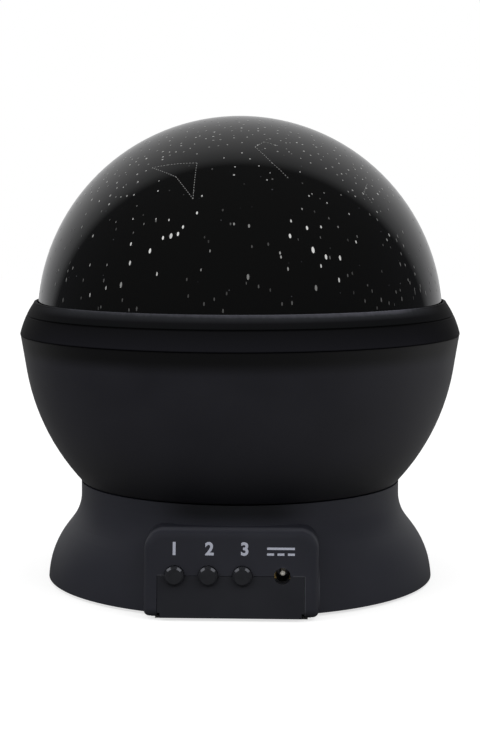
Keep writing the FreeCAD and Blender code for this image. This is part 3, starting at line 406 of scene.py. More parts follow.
line_z, ring_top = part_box("dome_ring")[0][2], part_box("dome_ring")[1][2]
LINE_HALF, LINE_FADE = 0.2 * MM, 0.36 * MM    # the painted shade in the groove between the two mouldings
COLLAR_EDGE = 0.4 * MM
HIGHLIGHT_DEPTH = 2.2 * MM             # how far below the ring's top the painted highlight starts
HIGHLIGHT_TOP_GAP = 0.1 * MM
LIT_FROM, LIT_FULL = 20 * MM, 40 * MM       # to the front or the back, where the painted highlight is; the sides get painted shade
LIT_SPAN_HALF = 45 * MM
# the painted highlight is weaker on the left and stronger on the right
LEFT_SHARE, RIGHT_SHARE = 0.66, 1.03
# The near-black tones at the collar's lower edge and at the line between the mouldings are painted shade in
# the grooves.
RIM_TONES = (                     # height over the collar's lower edge, and the tone there
    (0.0, "#08080a"),
    (LINE_HALF, "#08080a"),
    (COLLAR_EDGE, "#1c1c20"),
    (line_z - bowl_top - LINE_FADE, "#141416"),
    (line_z - bowl_top - LINE_HALF, "#0c0c0d"),
    (line_z - bowl_top + LINE_HALF, "#0c0c0d"),
    (line_z - bowl_top + LINE_FADE, "#131415"),
    (ring_top - bowl_top - HIGHLIGHT_DEPTH, "#151517"),
)
rim_satin, tree = material("rim_abs_satin_painted_light")
place = add(tree, "ShaderNodeTexCoord").outputs["Object"]
flow = add(tree, "ShaderNodeTexNoise", {"Scale": 1 / CLOUD, "Detail": 2.0}, {"Vector": place})
highlight_blotch = add(tree, "ShaderNodeTexNoise", {"Scale": 1 / SCUFF, "Detail": 3.0}, {"Vector": place})
axes = add(tree, "ShaderNodeSeparateXYZ", (), {"Vector": place})
up_rim = add(tree, "ShaderNodeMapRange", {"From Min": bowl_top, "From Max": ring_top},
             {"Value": axes.outputs["Z"]})
base_tones = [(height / (ring_top - bowl_top), code) for height, code in RIM_TONES]
# Painted highlight on the ring's upper edge, in blotches, at the front and the back.
ring_highlight = add(tree, "ShaderNodeMapRange", {"From Min": ring_top - HIGHLIGHT_DEPTH, "From Max": ring_top - HIGHLIGHT_TOP_GAP},
           {"Value": axes.outputs["Z"]})
patch = add(tree, "ShaderNodeMapRange", {"To Min": 0.75, "To Max": 1.1}, {"Value": highlight_blotch.outputs["Fac"]})
depth = add(tree, "ShaderNodeMath", {"operation": "ABSOLUTE"}, {0: axes.outputs["Y"]})
front_back_lit = add(tree, "ShaderNodeMapRange", {"From Min": LIT_FROM, "From Max": LIT_FULL},
              {"Value": depth.outputs["Value"]})
right_lit = add(tree, "ShaderNodeMapRange",
             {"From Min": -LIT_SPAN_HALF, "From Max": LIT_SPAN_HALF, "To Min": LEFT_SHARE, "To Max": RIGHT_SHARE},
             {"Value": axes.outputs["X"]})
highlight_amount = ring_highlight.outputs["Result"]
for share in (front_back_lit, right_lit, patch):
    highlight_amount = add(tree, "ShaderNodeMath", {"operation": "MULTIPLY"},
               {0: highlight_amount, 1: share.outputs["Result"]}).outputs["Value"]
highlight_mix = add(tree, "ShaderNodeMapRange", {"From Max": 0.5}, {"Value": highlight_amount})
# The sides of the collar and ring are darkened: painted shade.
side_shade = add(tree, "ShaderNodeMix", {"data_type": "RGBA"},
           {"Factor": front_back_lit.outputs["Result"], 7: ramp(tree, up_rim.outputs["Result"], base_tones)})
side_shade.inputs[6].default_value = linear("#0c0c0e")
tint = add(tree, "ShaderNodeMix", {"data_type": "RGBA"},
           {"Factor": highlight_mix.outputs["Result"], 6: side_shade.outputs[2],
            7: ramp(tree, highlight_amount, ((0.5, "#2c2d30"), (1.0, "#5a5a62")))}).outputs[2]
rough = add(tree, "ShaderNodeMapRange", {"To Min": 0.42, "To Max": 0.54}, {"Value": flow.outputs["Fac"]})
body = add(tree, "ShaderNodeBsdfPrincipled", {"IOR": 1.46, "Specular IOR Level": 0.015},
           {"Base Color": tint, "Roughness": rough.outputs["Result"]})
finish(tree, body)
dress(rim_satin, "collar", "dome_ring")


# Star dome
# A clear moulded shell printed black from the inside, so the colour is deep and the
# surface over it is a clean gloss. Fine pinholes in the print show as faint dust.

DOME_R = 57.7 * MM
PINHOLE_PITCH = 2.6 * MM
PINHOLE_R_SHARE = 0.085           # of the pitch
SPARED = 0.6                      # share of the places without a pinhole
DOME_INK = "#0c0c0b"
dome_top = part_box("star_dome")[1][2]
DOME_CENTRE = Vector((0, 0, dome_top - DOME_R))
printed, tree = material("printed_dome_gloss")
place = add(tree, "ShaderNodeTexCoord").outputs["Object"]
cells = add(tree, "ShaderNodeTexVoronoi", {"Scale": 1 / PINHOLE_PITCH, "Randomness": 1.0}, {"Vector": place})
hole = add(tree, "ShaderNodeMapRange", {"From Min": PINHOLE_R_SHARE, "From Max": 0.7 * PINHOLE_R_SHARE},
           {"Value": cells.outputs["Distance"]})
split = add(tree, "ShaderNodeSeparateColor", (), {"Color": cells.outputs["Color"]})
few = add(tree, "ShaderNodeMapRange", {"From Min": SPARED, "From Max": 1.0},
          {"Value": split.outputs["Red"]})
dust = add(tree, "ShaderNodeMath", {"operation": "MULTIPLY"},
           {0: hole.outputs["Result"], 1: few.outputs["Result"]})
ink = add(tree, "ShaderNodeMix", {"data_type": "RGBA"}, {"Factor": dust.outputs["Value"]})
ink.inputs[6].default_value = linear(DOME_INK)
ink.inputs[7].default_value = linear("#4b4c50")
body = add(tree, "ShaderNodeBsdfPrincipled", {"IOR": 1.5, "Roughness": 0.04}, {"Base Color": ink.outputs[2]})
finish(tree, body)
dress(printed, "star_dome")


# Star dots and figure lines
# Clear places in the dome's black print. The large stars and the joined figures in
# front follow the photo, and the rest of the sky is scattered evenly round the dome.

def pixel_ray(x, y):
    """Direction from the camera through a point of the photo."""
    local = Vector(((x - PHOTO_WIDTH / 2) / LENS_PX, (PHOTO_HEIGHT / 2 - y) / LENS_PX, -1))
    return (camera.rotation_euler.to_matrix() @ local).normalized()


def on_dome(x, y):
    """Unit direction from the dome's centre to where a point of the photo meets the dome."""
    way = pixel_ray(x, y)
    start = camera.location - DOME_CENTRE
    along = way.dot(start)
    inside = along ** 2 - start.length_squared + DOME_R ** 2
    return ((start + way * (-along - math.sqrt(max(inside, 0)))) / DOME_R).normalized()


def turned(azimuth, height):
    """Unit direction at an azimuth from the front and a height, in radians."""
    flat = math.cos(height)
    return Vector((math.sin(azimuth) * flat, -math.cos(azimuth) * flat, math.sin(height)))


PRINT_LIFT = 0.03 * MM
STAR_SIDES = 10
LOW_STRETCH = 1.6                 # how much longer than wide a dot at the rim is
stars = bmesh.new()
shade = stars.loops.layers.float_color.new("shade")


def print_star(direction, width, tone):
    """A dot on the dome, drawn out along its meridian near the rim as the moulding stretched it."""
    stretch = 1 + LOW_STRETCH * max(0, math.cos(2 * math.asin(direction.z)))
    across = direction.cross(Vector((0, 0, 1))).normalized()
    up = across.cross(direction).normalized()
    ring = []
    for i in range(STAR_SIDES):
        angle = 2 * math.pi * i / STAR_SIDES
        offset = across * math.cos(angle) * width / 2 + up * math.sin(angle) * width * stretch / 2
        way = (direction * DOME_R + offset).normalized()
        ring.append(stars.verts.new(DOME_CENTRE + way * (DOME_R + PRINT_LIFT)))
    face = stars.faces.new(ring)
    face.smooth = True
    for loop in face.loops:
        loop[shade] = (tone, tone, tone, 1)


FRONT_SIZE_SHARE = 0.88
FRONT_STARS = (                   # place in the photo, width of the dot in mm, and its brightness, which is painted light
    (197, 213, 0.6, 0.9), (183, 227, 0.6, 0.95), (178, 234, 0.7, 0.95), (171, 236, 0.9, 0.8),
    (163, 238, 0.65, 1), (150, 251, 0.75, 1), (131, 244, 0.55, 0.9), (130, 263, 0.65, 0.8),
    (157, 274, 0.5, 0.8), (121, 285, 0.75, 0.4), (106, 288, 0.5, 0.55), (90, 295, 0.5, 0.55),
    (93, 236, 0.5, 0.5), (90, 265, 0.45, 0.4), (107, 265, 0.35, 0.4), (73, 268, 0.45, 0.3),
    (68, 271, 0.4, 0.25), (59, 270, 0.4, 0.25), (133, 219, 0.4, 0.6), (156, 219, 0.4, 0.5),
    (169, 220, 0.45, 0.7), (144, 224, 0.4, 0.2), (116, 222, 0.4, 0.2), (137, 206, 0.35, 0.2),
    (202, 196, 0.5, 0.6), (158, 191, 0.45, 0.6), (138, 182, 0.5, 0.5), (159, 181, 0.45, 0.35),
    (134, 195, 0.5, 0.5), (127, 196, 0.45, 0.5), (121, 197, 0.4, 0.4), (116, 197, 0.4, 0.3),
    (117, 188, 0.5, 0.4), (234, 175, 0.6, 0.5), (235, 167, 0.45, 0.6), (242, 153, 0.5, 0.6),
    (250, 159, 0.5, 0.5), (224, 158, 0.45, 0.5), (163, 157, 0.6, 0.5), (176, 152, 0.5, 0.5),
    (197, 154, 0.45, 0.35), (234, 138, 0.5, 0.4), (234, 224, 0.5, 0.35), (249, 226, 0.65, 0.3),
    (210, 251, 0.45, 0.25), (248, 277, 0.75, 0.3), (201, 270, 0.4, 0.35), (223, 311, 0.5, 0.12),
    (204, 304, 0.5, 0.1), (101, 307, 0.4, 0.15), (129, 310, 0.4, 0.15), (82, 227, 0.5, 0.3),
    (86, 214, 0.45, 0.3), (291, 221, 0.55, 0.7), (290, 236, 0.75, 0.9), (307, 228, 0.7, 0.95),
    (321, 227, 0.5, 0.8), (338, 227, 0.4, 0.3), (313, 250, 0.95, 1), (326, 257, 0.75, 0.95),
    (340, 258, 0.7, 0.9), (321, 266, 0.5, 0.8), (339, 280, 0.6, 0.75), (280, 253, 0.45, 0.5),
    (281, 257, 0.45, 0.5), (288, 269, 0.5, 0.4), (316, 288, 0.75, 0.3), (356, 242, 0.5, 0.75),
    (349, 214, 0.45, 0.5), (377, 212, 0.5, 0.35), (389, 235, 0.55, 0.5), (387, 240, 0.45, 0.4),
    (327, 203, 0.4, 0.6), (302, 209, 0.45, 0.35), (309, 196, 0.5, 0.5), (312, 194, 0.35, 0.5),
    (341, 195, 0.4, 0.25), (324, 193, 0.4, 0.25), (300, 172, 0.45, 0.5), (267, 180, 0.5, 0.45),
    (270, 173, 0.4, 0.4), (259, 166, 0.45, 0.5), (289, 152, 0.45, 0.4), (286, 143, 0.5, 0.35),
    (270, 139, 0.5, 0.4), (355, 178, 0.5, 0.3), (405, 265, 0.4, 0.3), (414, 267, 0.4, 0.3),
    (415, 274, 0.35, 0.25), (408, 280, 0.4, 0.25), (415, 293, 0.4, 0.15), (396, 292, 0.45, 0.15),
    (372, 291, 0.45, 0.1), (365, 301, 0.5, 0.1), (389, 303, 0.5, 0.1), (292, 303, 0.5, 0.15),
    (282, 304, 0.45, 0.12), (377, 308, 0.4, 0.1),
)
for x, y, width, tone in FRONT_STARS:
    print_star(on_dome(x, y), FRONT_SIZE_SHARE * width * MM, tone)

draw = random.Random(7)
SMALL_STARS = 1900
LARGE_STARS = 150
SMALL_WIDTH, SMALL_TONE = (0.34, 0.6), (0.15, 0.55)  # widths in mm, here and in the next line
LARGE_WIDTH, LARGE_TONE = (0.4, 0.85), (0.2, 1)
STAR_JITTER = 1.3 * MM
GOLDEN_TURN = math.pi * (3 - math.sqrt(5))
FRONT = turned(0, math.radians(8))
QUIET_HALF = math.radians(49)     # half angle of the front part, where few small stars show
QUIET_SHARE = 0.12                # of the small stars there are printed
QUIET_WIDTH, QUIET_TONE = 0.8, 0.3  # against the width and tone they would have elsewhere
SIDE_TOP = math.radians(36)       # lower than this, the sides are half quiet
SIDE_SHARE = 0.4
SIDE_WIDTH, SIDE_TONE = 0.9, 0.4
FRONT_HALF = math.radians(80)
LOWEST = math.radians(6)
for i in range(SMALL_STARS):
    height = math.asin(1 - (1 - math.sin(LOWEST)) * (i + 0.5) / SMALL_STARS)
    jitter = Vector([draw.uniform(-STAR_JITTER, STAR_JITTER) for axis in range(3)])
    direction = (turned(i * GOLDEN_TURN, height) * DOME_R + jitter).normalized()
    width, tone, chance = draw.uniform(*SMALL_WIDTH) * MM, draw.uniform(*SMALL_TONE), draw.random()
    if direction.angle(FRONT) < QUIET_HALF:
        if chance < QUIET_SHARE:
            print_star(direction, QUIET_WIDTH * width, QUIET_TONE * tone)
    elif direction.y < 0 and height < SIDE_TOP:
        if chance < SIDE_SHARE:
            print_star(direction, SIDE_WIDTH * width, SIDE_TONE * tone)
    else:
        print_star(direction, width, tone)
for i in range(LARGE_STARS):
    height = math.asin(draw.uniform(math.sin(LOWEST), 1))
    azimuth = draw.uniform(FRONT_HALF, 2 * math.pi - FRONT_HALF)
    print_star(turned(azimuth, height), draw.uniform(*LARGE_WIDTH) * MM, draw.uniform(*LARGE_TONE) ** 1.5)

LINE_WIDTH = 0.17 * MM
LINE_DASH = 0.45 * MM             # and as much again to the next dash
LINE_TONE = 0.3
FIGURES = (                       # places in the photo, joined in turn
    ((152, 168), (168, 165), (197, 163), (193, 199), (176, 177), (152, 168)),
    ((278, 146), (264, 142), (255, 147), (272, 163), (288, 178)),
    ((367, 184), (364, 192), (372, 203)),
)
BACK_FIGURES = (                  # azimuth from the front and height, in degrees
    ((95, 30), (110, 42), (122, 36), (140, 48), (151, 40)),
    ((170, 25), (184, 38), (199, 22), (182, 14), (170, 25)),
    ((225, 50), (238, 36), (252, 40), (262, 27)),
    ((20, 78), (70, 72), (120, 76), (160, 68)),
)


def print_line(start, end):
    """A line of fine dashes on the dome between two of its points, along the shortest way."""
    side = start.cross(end).normalized() * LINE_WIDTH / 2
    steps = 2 * round(start.angle(end) * DOME_R / (2 * LINE_DASH)) + 1
    rows = []
    for i in range(steps + 1):
        middle = start.slerp(end, i / steps) * DOME_R
        ways = [(middle + side * s).normalized() for s in (1, -1)]
        rows.append([stars.verts.new(DOME_CENTRE + way * (DOME_R + PRINT_LIFT)) for way in ways])
    for (a, b), (c, d) in list(zip(rows, rows[1:]))[::2]:
        face = stars.faces.new((a, c, d, b))
        face.smooth = True
        for loop in face.loops:
            loop[shade] = (LINE_TONE, LINE_TONE, LINE_TONE, 1)


for figure in FIGURES:
    points = [on_dome(x, y) for x, y in figure]
    for a, b in zip(points, points[1:]):
        print_line(a, b)
for figure in BACK_FIGURES:
    points = [turned(math.radians(a), math.radians(h)) for a, h in figure]
    for a, b in zip(points, points[1:]):
        print_line(a, b)

for face in stars.faces:
    if face.normal.dot(face.calc_center_median() - DOME_CENTRE) < 0:
        face.normal_flip()
star_mesh = bpy.data.meshes.new("star_dots")
stars.to_mesh(star_mesh)
stars.free()
star_dots = bpy.data.objects.new("star_dots", star_mesh)
bpy.context.collection.objects.link(star_dots)
clear_print, tree = material("clear_print_gloss")
tone = add(tree, "ShaderNodeVertexColor", {"layer_name": "shade"})
bright = add(tree, "ShaderNodeMix", {"data_type": "RGBA"}, {"Factor": tone.outputs["Color"]})
bright.inputs[6].default_value = linear(DOME_INK)
bright.inputs[7].default_value = linear("#e6e6e4")
body = add(tree, "ShaderNodeBsdfPrincipled", {"IOR": 1.5, "Roughness": 0.04},
           {"Base Color": bright.outputs[2]})
finish(tree, body)
star_mesh.materials.append(clear_print)
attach(star_dots, "ball")


# Button caps
# Glossier ABS caps that slide in the panel's holes. Each has a painted highlight on
# the two upper corners of its bevel.

BEVEL_CORNER = (0.42, 0.71, 0.57)  # way that the bevel's upper corners face, either side
GLINT_FROM, GLINT_FULL = 0.978, 0.994  # how near to that way a surface faces, for the painted highlight
caps, tree = material("button_abs_satin")
place = add(tree, "ShaderNodeTexCoord").outputs["Object"]
smear = add(tree, "ShaderNodeTexNoise", {"Scale": 1 / SCUFF, "Detail": 3.0}, {"Vector": place})
tint = ramp(tree, smear.outputs["Fac"], ((0.3, "#232428"), (0.75, "#2a2b2f")))
facing = add(tree, "ShaderNodeNewGeometry").outputs["Normal"]
evened = add(tree, "ShaderNodeVectorMath", {"operation": "ABSOLUTE"}, {0: facing})
corner = add(tree, "ShaderNodeVectorMath", {"operation": "DOT_PRODUCT", 1: BEVEL_CORNER},
             {0: evened.outputs["Vector"]})
glint_share = add(tree, "ShaderNodeMapRange", {"From Min": GLINT_FROM, "From Max": GLINT_FULL},
           {"Value": corner.outputs["Value"]})
upward = add(tree, "ShaderNodeSeparateXYZ", (), {"Vector": facing})
upper = add(tree, "ShaderNodeMath", {"operation": "GREATER_THAN", 1: 0.0}, {0: upward.outputs["Z"]})
bevel_glint = add(tree, "ShaderNodeMath", {"operation": "MULTIPLY"},
                 {0: glint_share.outputs["Result"], 1: upper.outputs["Value"]})
# Painted highlight on the bevel's two upper corners.
shown = add(tree, "ShaderNodeMix", {"data_type": "RGBA"}, {"Factor": bevel_glint.outputs["Value"], 6: tint})
shown.inputs[7].default_value = linear("#6a6b71")
rough = add(tree, "ShaderNodeMapRange", {"To Min": 0.3, "To Max": 0.42}, {"Value": smear.outputs["Fac"]})
body = add(tree, "ShaderNodeBsdfPrincipled", {"IOR": 1.5},
           {"Base Color": shown.outputs[2], "Roughness": rough.outputs["Result"]})
finish(tree, body)
dress(caps, "button_1", "button_2", "button_3")


# Panel print
# The marks over the buttons and the inlet, pad-printed in a pale grey ink that dries
# dull: plain numbers for the buttons, and the sign for direct current over the inlet.

FOOT_STAND = 0.8 * MM
PANEL_FOOT_Y = 57.0 * MM
PANEL_LEAN = math.atan(4.0 / 22.1)  # back by 4.0 mm over the panel's height of 22.1 mm
INK_LIFT = 0.03 * MM
NUMERAL_HEIGHT = 3.3 * MM
CAP_SHARE = 0.72                  # a numeral's height as a share of the font's size
BOLD_SHARE = 0.045
NUMERAL_PLACES = (("1", -14.8 * MM), ("2", -5.6 * MM), ("3", 3.6 * MM))
NUMERAL_Z = 17.5 * MM
SIGN_X, SIGN_Z = 13.0 * MM, 17.1 * MM
SIGN_W, SIGN_H, SIGN_T = 7.2 * MM, 2.1 * MM, 0.6 * MM

ink, tree = material("pad_print_ink_matt")
place = add(tree, "ShaderNodeTexCoord").outputs["Object"]
thin = add(tree, "ShaderNodeTexNoise", {"Scale": 1 / GRAIN, "Detail": 2.0}, {"Vector": place})
tint = ramp(tree, thin.outputs["Fac"], ((0.3, "#a9acbc"), (0.6, "#babdca")))
body = add(tree, "ShaderNodeBsdfPrincipled", {"Roughness": 0.6}, {"Base Color": tint})
finish(tree, body)


def on_panel(x, height):
    """A point on the leaning panel, at a height over the shell's lower edge."""
    return Vector((x, height * math.tan(PANEL_LEAN) - PANEL_FOOT_Y - INK_LIFT, height + FOOT_STAND))


def print_mark(name, mesh, x, height):
    """Lays a flat mark on the panel and joins it to the base."""
    mesh.materials.clear()
    mesh.materials.append(ink)
    mark = bpy.data.objects.new(name, mesh)
    mark.location = on_panel(x, height)
    mark.rotation_euler = (math.pi / 2 - PANEL_LEAN, 0, 0)
    bpy.context.collection.objects.link(mark)
    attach(mark, "base")


for digit, x in NUMERAL_PLACES:
    curve = bpy.data.curves.new("numeral", "FONT")
    curve.body = digit
    curve.size = NUMERAL_HEIGHT / CAP_SHARE
    curve.offset = BOLD_SHARE * NUMERAL_HEIGHT
    curve.align_x, curve.align_y = "CENTER", "CENTER"
    source = bpy.data.objects.new("numeral", curve)
    mesh = bpy.data.meshes.new_from_object(source)
    bpy.data.objects.remove(source)
    print_mark("panel_numeral_" + digit, mesh, x, NUMERAL_Z)

dash = SIGN_W / 4
bars = [(-SIGN_W / 2, SIGN_W / 2, SIGN_H / 2)]
for i in range(3):
    bars.append((-SIGN_W / 2 + i * 1.5 * dash, -SIGN_W / 2 + (i * 1.5 + 1) * dash, SIGN_T - SIGN_H / 2))
sign = bmesh.new()
for left, right, top in bars:
    corners = ((left, top - SIGN_T), (right, top - SIGN_T), (right, top), (left, top))
    sign.faces.new([sign.verts.new((x, z, 0)) for x, z in corners])
mesh = bpy.data.meshes.new("panel_supply_sign")
sign.to_mesh(mesh)
sign.free()
print_mark("panel_supply_sign", mesh, SIGN_X, SIGN_Z)


# Feet
# Discs of black rubber, punched from a sheet and pressed into round seats in the cover.
# They are dull, with the grey dust of the table in patches.

DUST_DEPTH = 0.05 * MM
rubber, tree = material("foot_rubber_matt")
place = add(tree, "ShaderNodeTexCoord").outputs["Object"]
dust = add(tree, "ShaderNodeTexNoise", {"Scale": 1 / SCUFF, "Detail": 5.0}, {"Vector": place})
tint = ramp(tree, dust.outputs["Fac"], ((0.4, "#1a1a1a"), (0.75, "#34322f")))
relief = add(tree, "ShaderNodeBump", {"Strength": 0.4, "Distance": DUST_DEPTH},
             {"Height": dust.outputs["Fac"]})
body = add(tree, "ShaderNodeBsdfPrincipled", {"Roughness": 0.85}, {"Base Color": tint})
finish(tree, body, relief)
dress(rubber, "rubber_feet")


# Screws, output shaft and retaining clip
# Headed, turned and stamped from steel, then zinc-plated. The plating is a satin grey,
# faintly yellow, and cloudy in fine flecks.

def metal(name, dark, light, rough_low, rough_high, mark, stretch=(1.0, 1.0, 1.0), metallic=1.0):
    """Bare or plated metal with marks of a given size."""
    made, tree = material(name)
    place = add(tree, "ShaderNodeTexCoord").outputs["Object"]
    drawn = add(tree, "ShaderNodeVectorMath", {"operation": "MULTIPLY", 1: stretch}, {0: place})
    marks = add(tree, "ShaderNodeTexNoise", {"Scale": 1 / mark, "Detail": 4.0},
                {"Vector": drawn.outputs["Vector"]})
    tint = ramp(tree, marks.outputs["Fac"], ((0.3, dark), (0.7, light)))
    rough = add(tree, "ShaderNodeMapRange", {"To Min": rough_low, "To Max": rough_high},
                {"Value": marks.outputs["Fac"]})
    body = add(tree, "ShaderNodeBsdfPrincipled", {"Metallic": metallic},
               {"Base Color": tint, "Roughness": rough.outputs["Result"]})
    finish(tree, body)
    return made


zinc = metal("zinc_plated_steel_satin", "#8f8d86", "#b9b7b0", 0.25, 0.4, 0.6 * MM)
dress(zinc, "cover_screws", "door_screw", "motor_screws", "post_screws", "gear_screws", "tray_screws",
      "collar_screws", "output_shaft", "retaining_clip")


# Cell contacts
# Steel strip stamped and bent into leaves, slid into slots at the ends of the cells and
# plated with bright nickel, which mirrors a little.

nickel = metal("nickel_plated_strip_gloss", "#a39e93", "#cbc6ba", 0.12, 0.24, 0.9 * MM)
dress(nickel, "battery_springs", "contact_plates")


# Battery cells
# Four AAA cells, steel cans in plain printed sleeves shrunk on with a plastic gloss: dark
# grey with a copper band at the positive end, which every second cell has in front.

CELL_END = 9 * MM
cell_low, cell_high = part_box("battery_cells")
sleeve, tree = material("cell_sleeve_gloss")
place = add(tree, "ShaderNodeTexCoord").outputs["Object"]
axes = add(tree, "ShaderNodeSeparateXYZ", (), {"Vector": place})
pitch = (cell_high[0] - cell_low[0]) / 4
column = add(tree, "ShaderNodeMath", {"operation": "DIVIDE", 1: 2 * pitch}, {0: axes.outputs["X"]})
part = add(tree, "ShaderNodeMath", {"operation": "FRACT"}, {0: column.outputs["Value"]})
turned_round = add(tree, "ShaderNodeMath", {"operation": "GREATER_THAN", 1: 0.5}, {0: part.outputs["Value"]})
front_band = add(tree, "ShaderNodeMath", {"operation": "LESS_THAN", 1: cell_low[1] + CELL_END},
                 {0: axes.outputs["Y"]})
back_band = add(tree, "ShaderNodeMath", {"operation": "GREATER_THAN", 1: cell_high[1] - CELL_END},
                {0: axes.outputs["Y"]})
band = add(tree, "ShaderNodeMix", {"data_type": "FLOAT"},
           {"Factor": turned_round.outputs["Value"], 2: front_band.outputs["Value"],
            3: back_band.outputs["Value"]})
rub = add(tree, "ShaderNodeTexNoise", {"Scale": 1 / SCUFF, "Detail": 4.0}, {"Vector": place})
grey = ramp(tree, rub.outputs["Fac"], ((0.3, "#2d2f33"), (0.8, "#3b3d42")))
copper = ramp(tree, rub.outputs["Fac"], ((0.3, "#8f5a33"), (0.8, "#a76c40")))
tint = add(tree, "ShaderNodeMix", {"data_type": "RGBA"}, {"Factor": band.outputs[0], 6: grey, 7: copper})
body = add(tree, "ShaderNodeBsdfPrincipled", {"Roughness": 0.28, "Metallic": 0.35},
           {"Base Color": tint.outputs[2]})
finish(tree, body)
dress(sleeve, "battery_cells")


# Control board and its chip, parts, switches and inlet pin
# A glass-fibre board under a glossy green solder mask that shows its copper tracks, with
# black epoxy parts soldered on. The pin is plated with matt tin, which scatters light
# much as paint does.

TRACK = 1.6 * MM
mask, tree = material("solder_mask_gloss")
place = add(tree, "ShaderNodeTexCoord").outputs["Object"]
tracks = add(tree, "ShaderNodeTexBrick",
             {"Scale": 1 / TRACK, "Mortar Size": 0.09, "Brick Width": 1.6, "Row Height": 0.5,
              "Color1": linear("#14532f"), "Color2": linear("#175a34"), "Mortar": linear("#237a48")},
             {"Vector": place})
body = add(tree, "ShaderNodeBsdfPrincipled", {"Roughness": 0.22}, {"Base Color": tracks.outputs["Color"]})
finish(tree, body)
dress(mask, "control_board")


def moulding(name, dark, light, rough_low, rough_high, mark):
    """Plain moulded plastic with flow marks of a given size."""
    made, tree = material(name)
    place = add(tree, "ShaderNodeTexCoord").outputs["Object"]
    marks = add(tree, "ShaderNodeTexNoise", {"Scale": 1 / mark, "Detail": 3.0}, {"Vector": place})
    tint = ramp(tree, marks.outputs["Fac"], ((0.3, dark), (0.7, light)))
    rough = add(tree, "ShaderNodeMapRange", {"To Min": rough_low, "To Max": rough_high},
                {"Value": marks.outputs["Fac"]})
    relief = add(tree, "ShaderNodeBump", {"Strength": 0.3, "Distance": GRAIN_DEPTH},
                 {"Height": marks.outputs["Fac"]})
    body = add(tree, "ShaderNodeBsdfPrincipled", (),
               {"Base Color": tint, "Roughness": rough.outputs["Result"]})
    finish(tree, body, relief)
    return made


dress(moulding("epoxy_parts_matt", "#161617", "#222224", 0.45, 0.6, 0.7 * MM), "control_chip", "board_parts")
dress(moulding("switch_body_satin", "#1b1b1c", "#28282a", 0.35, 0.5, 1.1 * MM), "tact_switches")
dress(moulding("plunger_nylon_satin", "#7d2a22", "#8c342a", 0.35, 0.45, 0.8 * MM),
      "switch_plunger_1", "switch_plunger_2", "switch_plunger_3")
dress(metal("tin_plated_pin_matt", "#e2ded2", "#f4f1e8", 0.4, 0.5, 0.4 * MM, metallic=0.2), "dc_inlet_pin")


# DC inlet
# A black nylon body, moulded round its contacts and soldered to the board. Its brass
# contact leaves show in warm patches at the mouth of the bore.

BORE_R = 2.4 * MM
LEAF_PITCH = 1.5 * MM
LEAF_LOW = -1.1 * MM              # from the bore's axis, below which no leaf lies
LEAF_CUT = 0.52
inlet_low, inlet_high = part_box("dc_inlet")
bore_axis = ((inlet_low[0] + inlet_high[0]) / 2, 0, (inlet_low[2] + inlet_high[2]) / 2)
inlet, tree = material("inlet_nylon_satin")
place = add(tree, "ShaderNodeTexCoord").outputs["Object"]
marks = add(tree, "ShaderNodeTexNoise", {"Scale": 1 / MM, "Detail": 3.0}, {"Vector": place})
offset = add(tree, "ShaderNodeVectorMath", {"operation": "SUBTRACT", 1: bore_axis}, {0: place})
across = add(tree, "ShaderNodeVectorMath", {"operation": "MULTIPLY", 1: (1, 0, 1)},
             {0: offset.outputs["Vector"]})
apart = add(tree, "ShaderNodeVectorMath", {"operation": "LENGTH"}, {0: across.outputs["Vector"]})
inside = add(tree, "ShaderNodeMath", {"operation": "LESS_THAN", 1: BORE_R}, {0: apart.outputs["Value"]})
height = add(tree, "ShaderNodeSeparateXYZ", (), {"Vector": offset.outputs["Vector"]})
upper = add(tree, "ShaderNodeMath", {"operation": "GREATER_THAN", 1: LEAF_LOW}, {0: height.outputs["Z"]})
mouth = add(tree, "ShaderNodeMath", {"operation": "MULTIPLY"},
            {0: inside.outputs["Value"], 1: upper.outputs["Value"]})
leaves = add(tree, "ShaderNodeTexNoise", {"Scale": 1 / LEAF_PITCH, "Detail": 0.0}, {"Vector": place})
leaf = add(tree, "ShaderNodeMath", {"operation": "GREATER_THAN", 1: LEAF_CUT}, {0: leaves.outputs["Fac"]})
brass = add(tree, "ShaderNodeMath", {"operation": "MULTIPLY"},
            {0: mouth.outputs["Value"], 1: leaf.outputs["Value"]})
nylon = ramp(tree, marks.outputs["Fac"], ((0.3, "#2c2c2f"), (0.7, "#3a3a3d")))
tint = add(tree, "ShaderNodeMix", {"data_type": "RGBA"}, {"Factor": brass.outputs["Value"], 6: nylon})
tint.inputs[7].default_value = linear("#c8a860")
rough = add(tree, "ShaderNodeMapRange", {"To Min": 0.3, "To Max": 0.42}, {"Value": marks.outputs["Fac"]})
body = add(tree, "ShaderNodeBsdfPrincipled", (),
           {"Base Color": tint.outputs[2], "Roughness": rough.outputs["Result"]})
finish(tree, body)
dress(inlet, "dc_inlet")


# Gearbox case, gears and thrust washer
# Moulded acetal in its natural milky white, with a soft gloss and broad flow marks. The
# pinion is pressed on its shaft, and the large gear is screwed under the bowl.

dress(moulding("natural_acetal_satin", "#cfcdc4", "#dedcd4", 0.3, 0.42, 2.5 * MM),
      "gearbox_case", "turntable_gear", "drive_pinion", "thrust_washer")


# Motor can
# A cup drawn from sheet steel, nickel-plated and pressed into the gearbox case. The draw
# lines streak it along the can.

dress(metal("drawn_steel_can_satin", "#9d9c99", "#bdbcb8", 0.2, 0.36, 0.5 * MM, (0.1, 1.0, 1.0)), "motor_can")


# Lamp post, reflector tray and lamp board
# The post and the tray are moulded in white ABS and screwed down. Their matt white
# scatters the lamp light up into the dome. The lamp board has a white solder mask.

dress(moulding("white_abs_matt", "#d3d2cd", "#dfded9", 0.5, 0.62, 4.0 * MM), "lamp_post", "reflector_tray")
dress(moulding("white_solder_mask_gloss", "#d9dad6", "#e4e5e1", 0.2, 0.3, 1.5 * MM), "lamp_board")


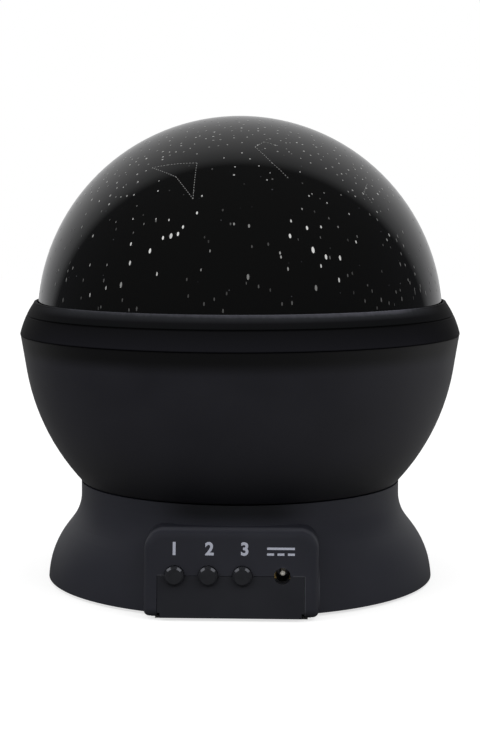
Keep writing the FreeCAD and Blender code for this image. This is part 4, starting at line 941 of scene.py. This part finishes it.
# Lamps
# One white lamp in the middle and a ring of coloured ones round it, soldered to the lamp
# board. Each is cast in epoxy, clear or tinted, and has the gloss of its mould.

def cast_epoxy(name, tint_at):
    """Clear cast epoxy whose tint is built by the function given."""
    made, tree = material(name)
    place = add(tree, "ShaderNodeTexCoord").outputs["Object"]
    swirl = add(tree, "ShaderNodeTexNoise", {"Scale": 1 / SCUFF, "Detail": 2.0}, {"Vector": place})
    rough = add(tree, "ShaderNodeMapRange", {"To Min": 0.03, "To Max": 0.12}, {"Value": swirl.outputs["Fac"]})
    body = add(tree, "ShaderNodeBsdfPrincipled", {"IOR": 1.53, "Transmission Weight": 0.8},
               {"Base Color": tint_at(tree, place), "Roughness": rough.outputs["Result"]})
    finish(tree, body)
    return made


def clear_tint(tree, place):
    """Water-clear, with a faint cold cast in places."""
    depth = add(tree, "ShaderNodeTexNoise", {"Scale": 1 / SCUFF, "Detail": 1.0}, {"Vector": place})
    return ramp(tree, depth.outputs["Fac"], ((0.3, "#e9edf2"), (0.7, "#f4f4ee")))


def ring_tint(tree, place):
    """Red, green and blue, a third of a turn each."""
    turn = add(tree, "ShaderNodeTexGradient", {"gradient_type": "RADIAL"}, {"Vector": place})
    thirds = ramp(tree, turn.outputs["Fac"], ((0.0, "#c8332b"), (0.34, "#2f9a4c"), (0.67, "#2f57c4")))
    tree.nodes[-1].color_ramp.interpolation = "CONSTANT"
    return thirds


dress(cast_epoxy("clear_epoxy_gloss", clear_tint), "white_led")
dress(cast_epoxy("tinted_epoxy_gloss", ring_tint), "colour_leds")


# Lamp leads
# Thin copper wires in red PVC, bundled up through the post and soldered to both boards.
# The extruded covering has a low sheen and is darker in short streaks.

STREAK = 0.9 * MM
leads, tree = material("lead_pvc_satin")
place = add(tree, "ShaderNodeTexCoord").outputs["Object"]
streak = add(tree, "ShaderNodeTexNoise", {"Scale": 1 / STREAK, "Detail": 1.0}, {"Vector": place})
tint = ramp(tree, streak.outputs["Fac"], ((0.3, "#8e2a25"), (0.7, "#a8352e")))
body = add(tree, "ShaderNodeBsdfPrincipled", {"Roughness": 0.4}, {"Base Color": tint})
finish(tree, body)
dress(leads, "lamp_leads")
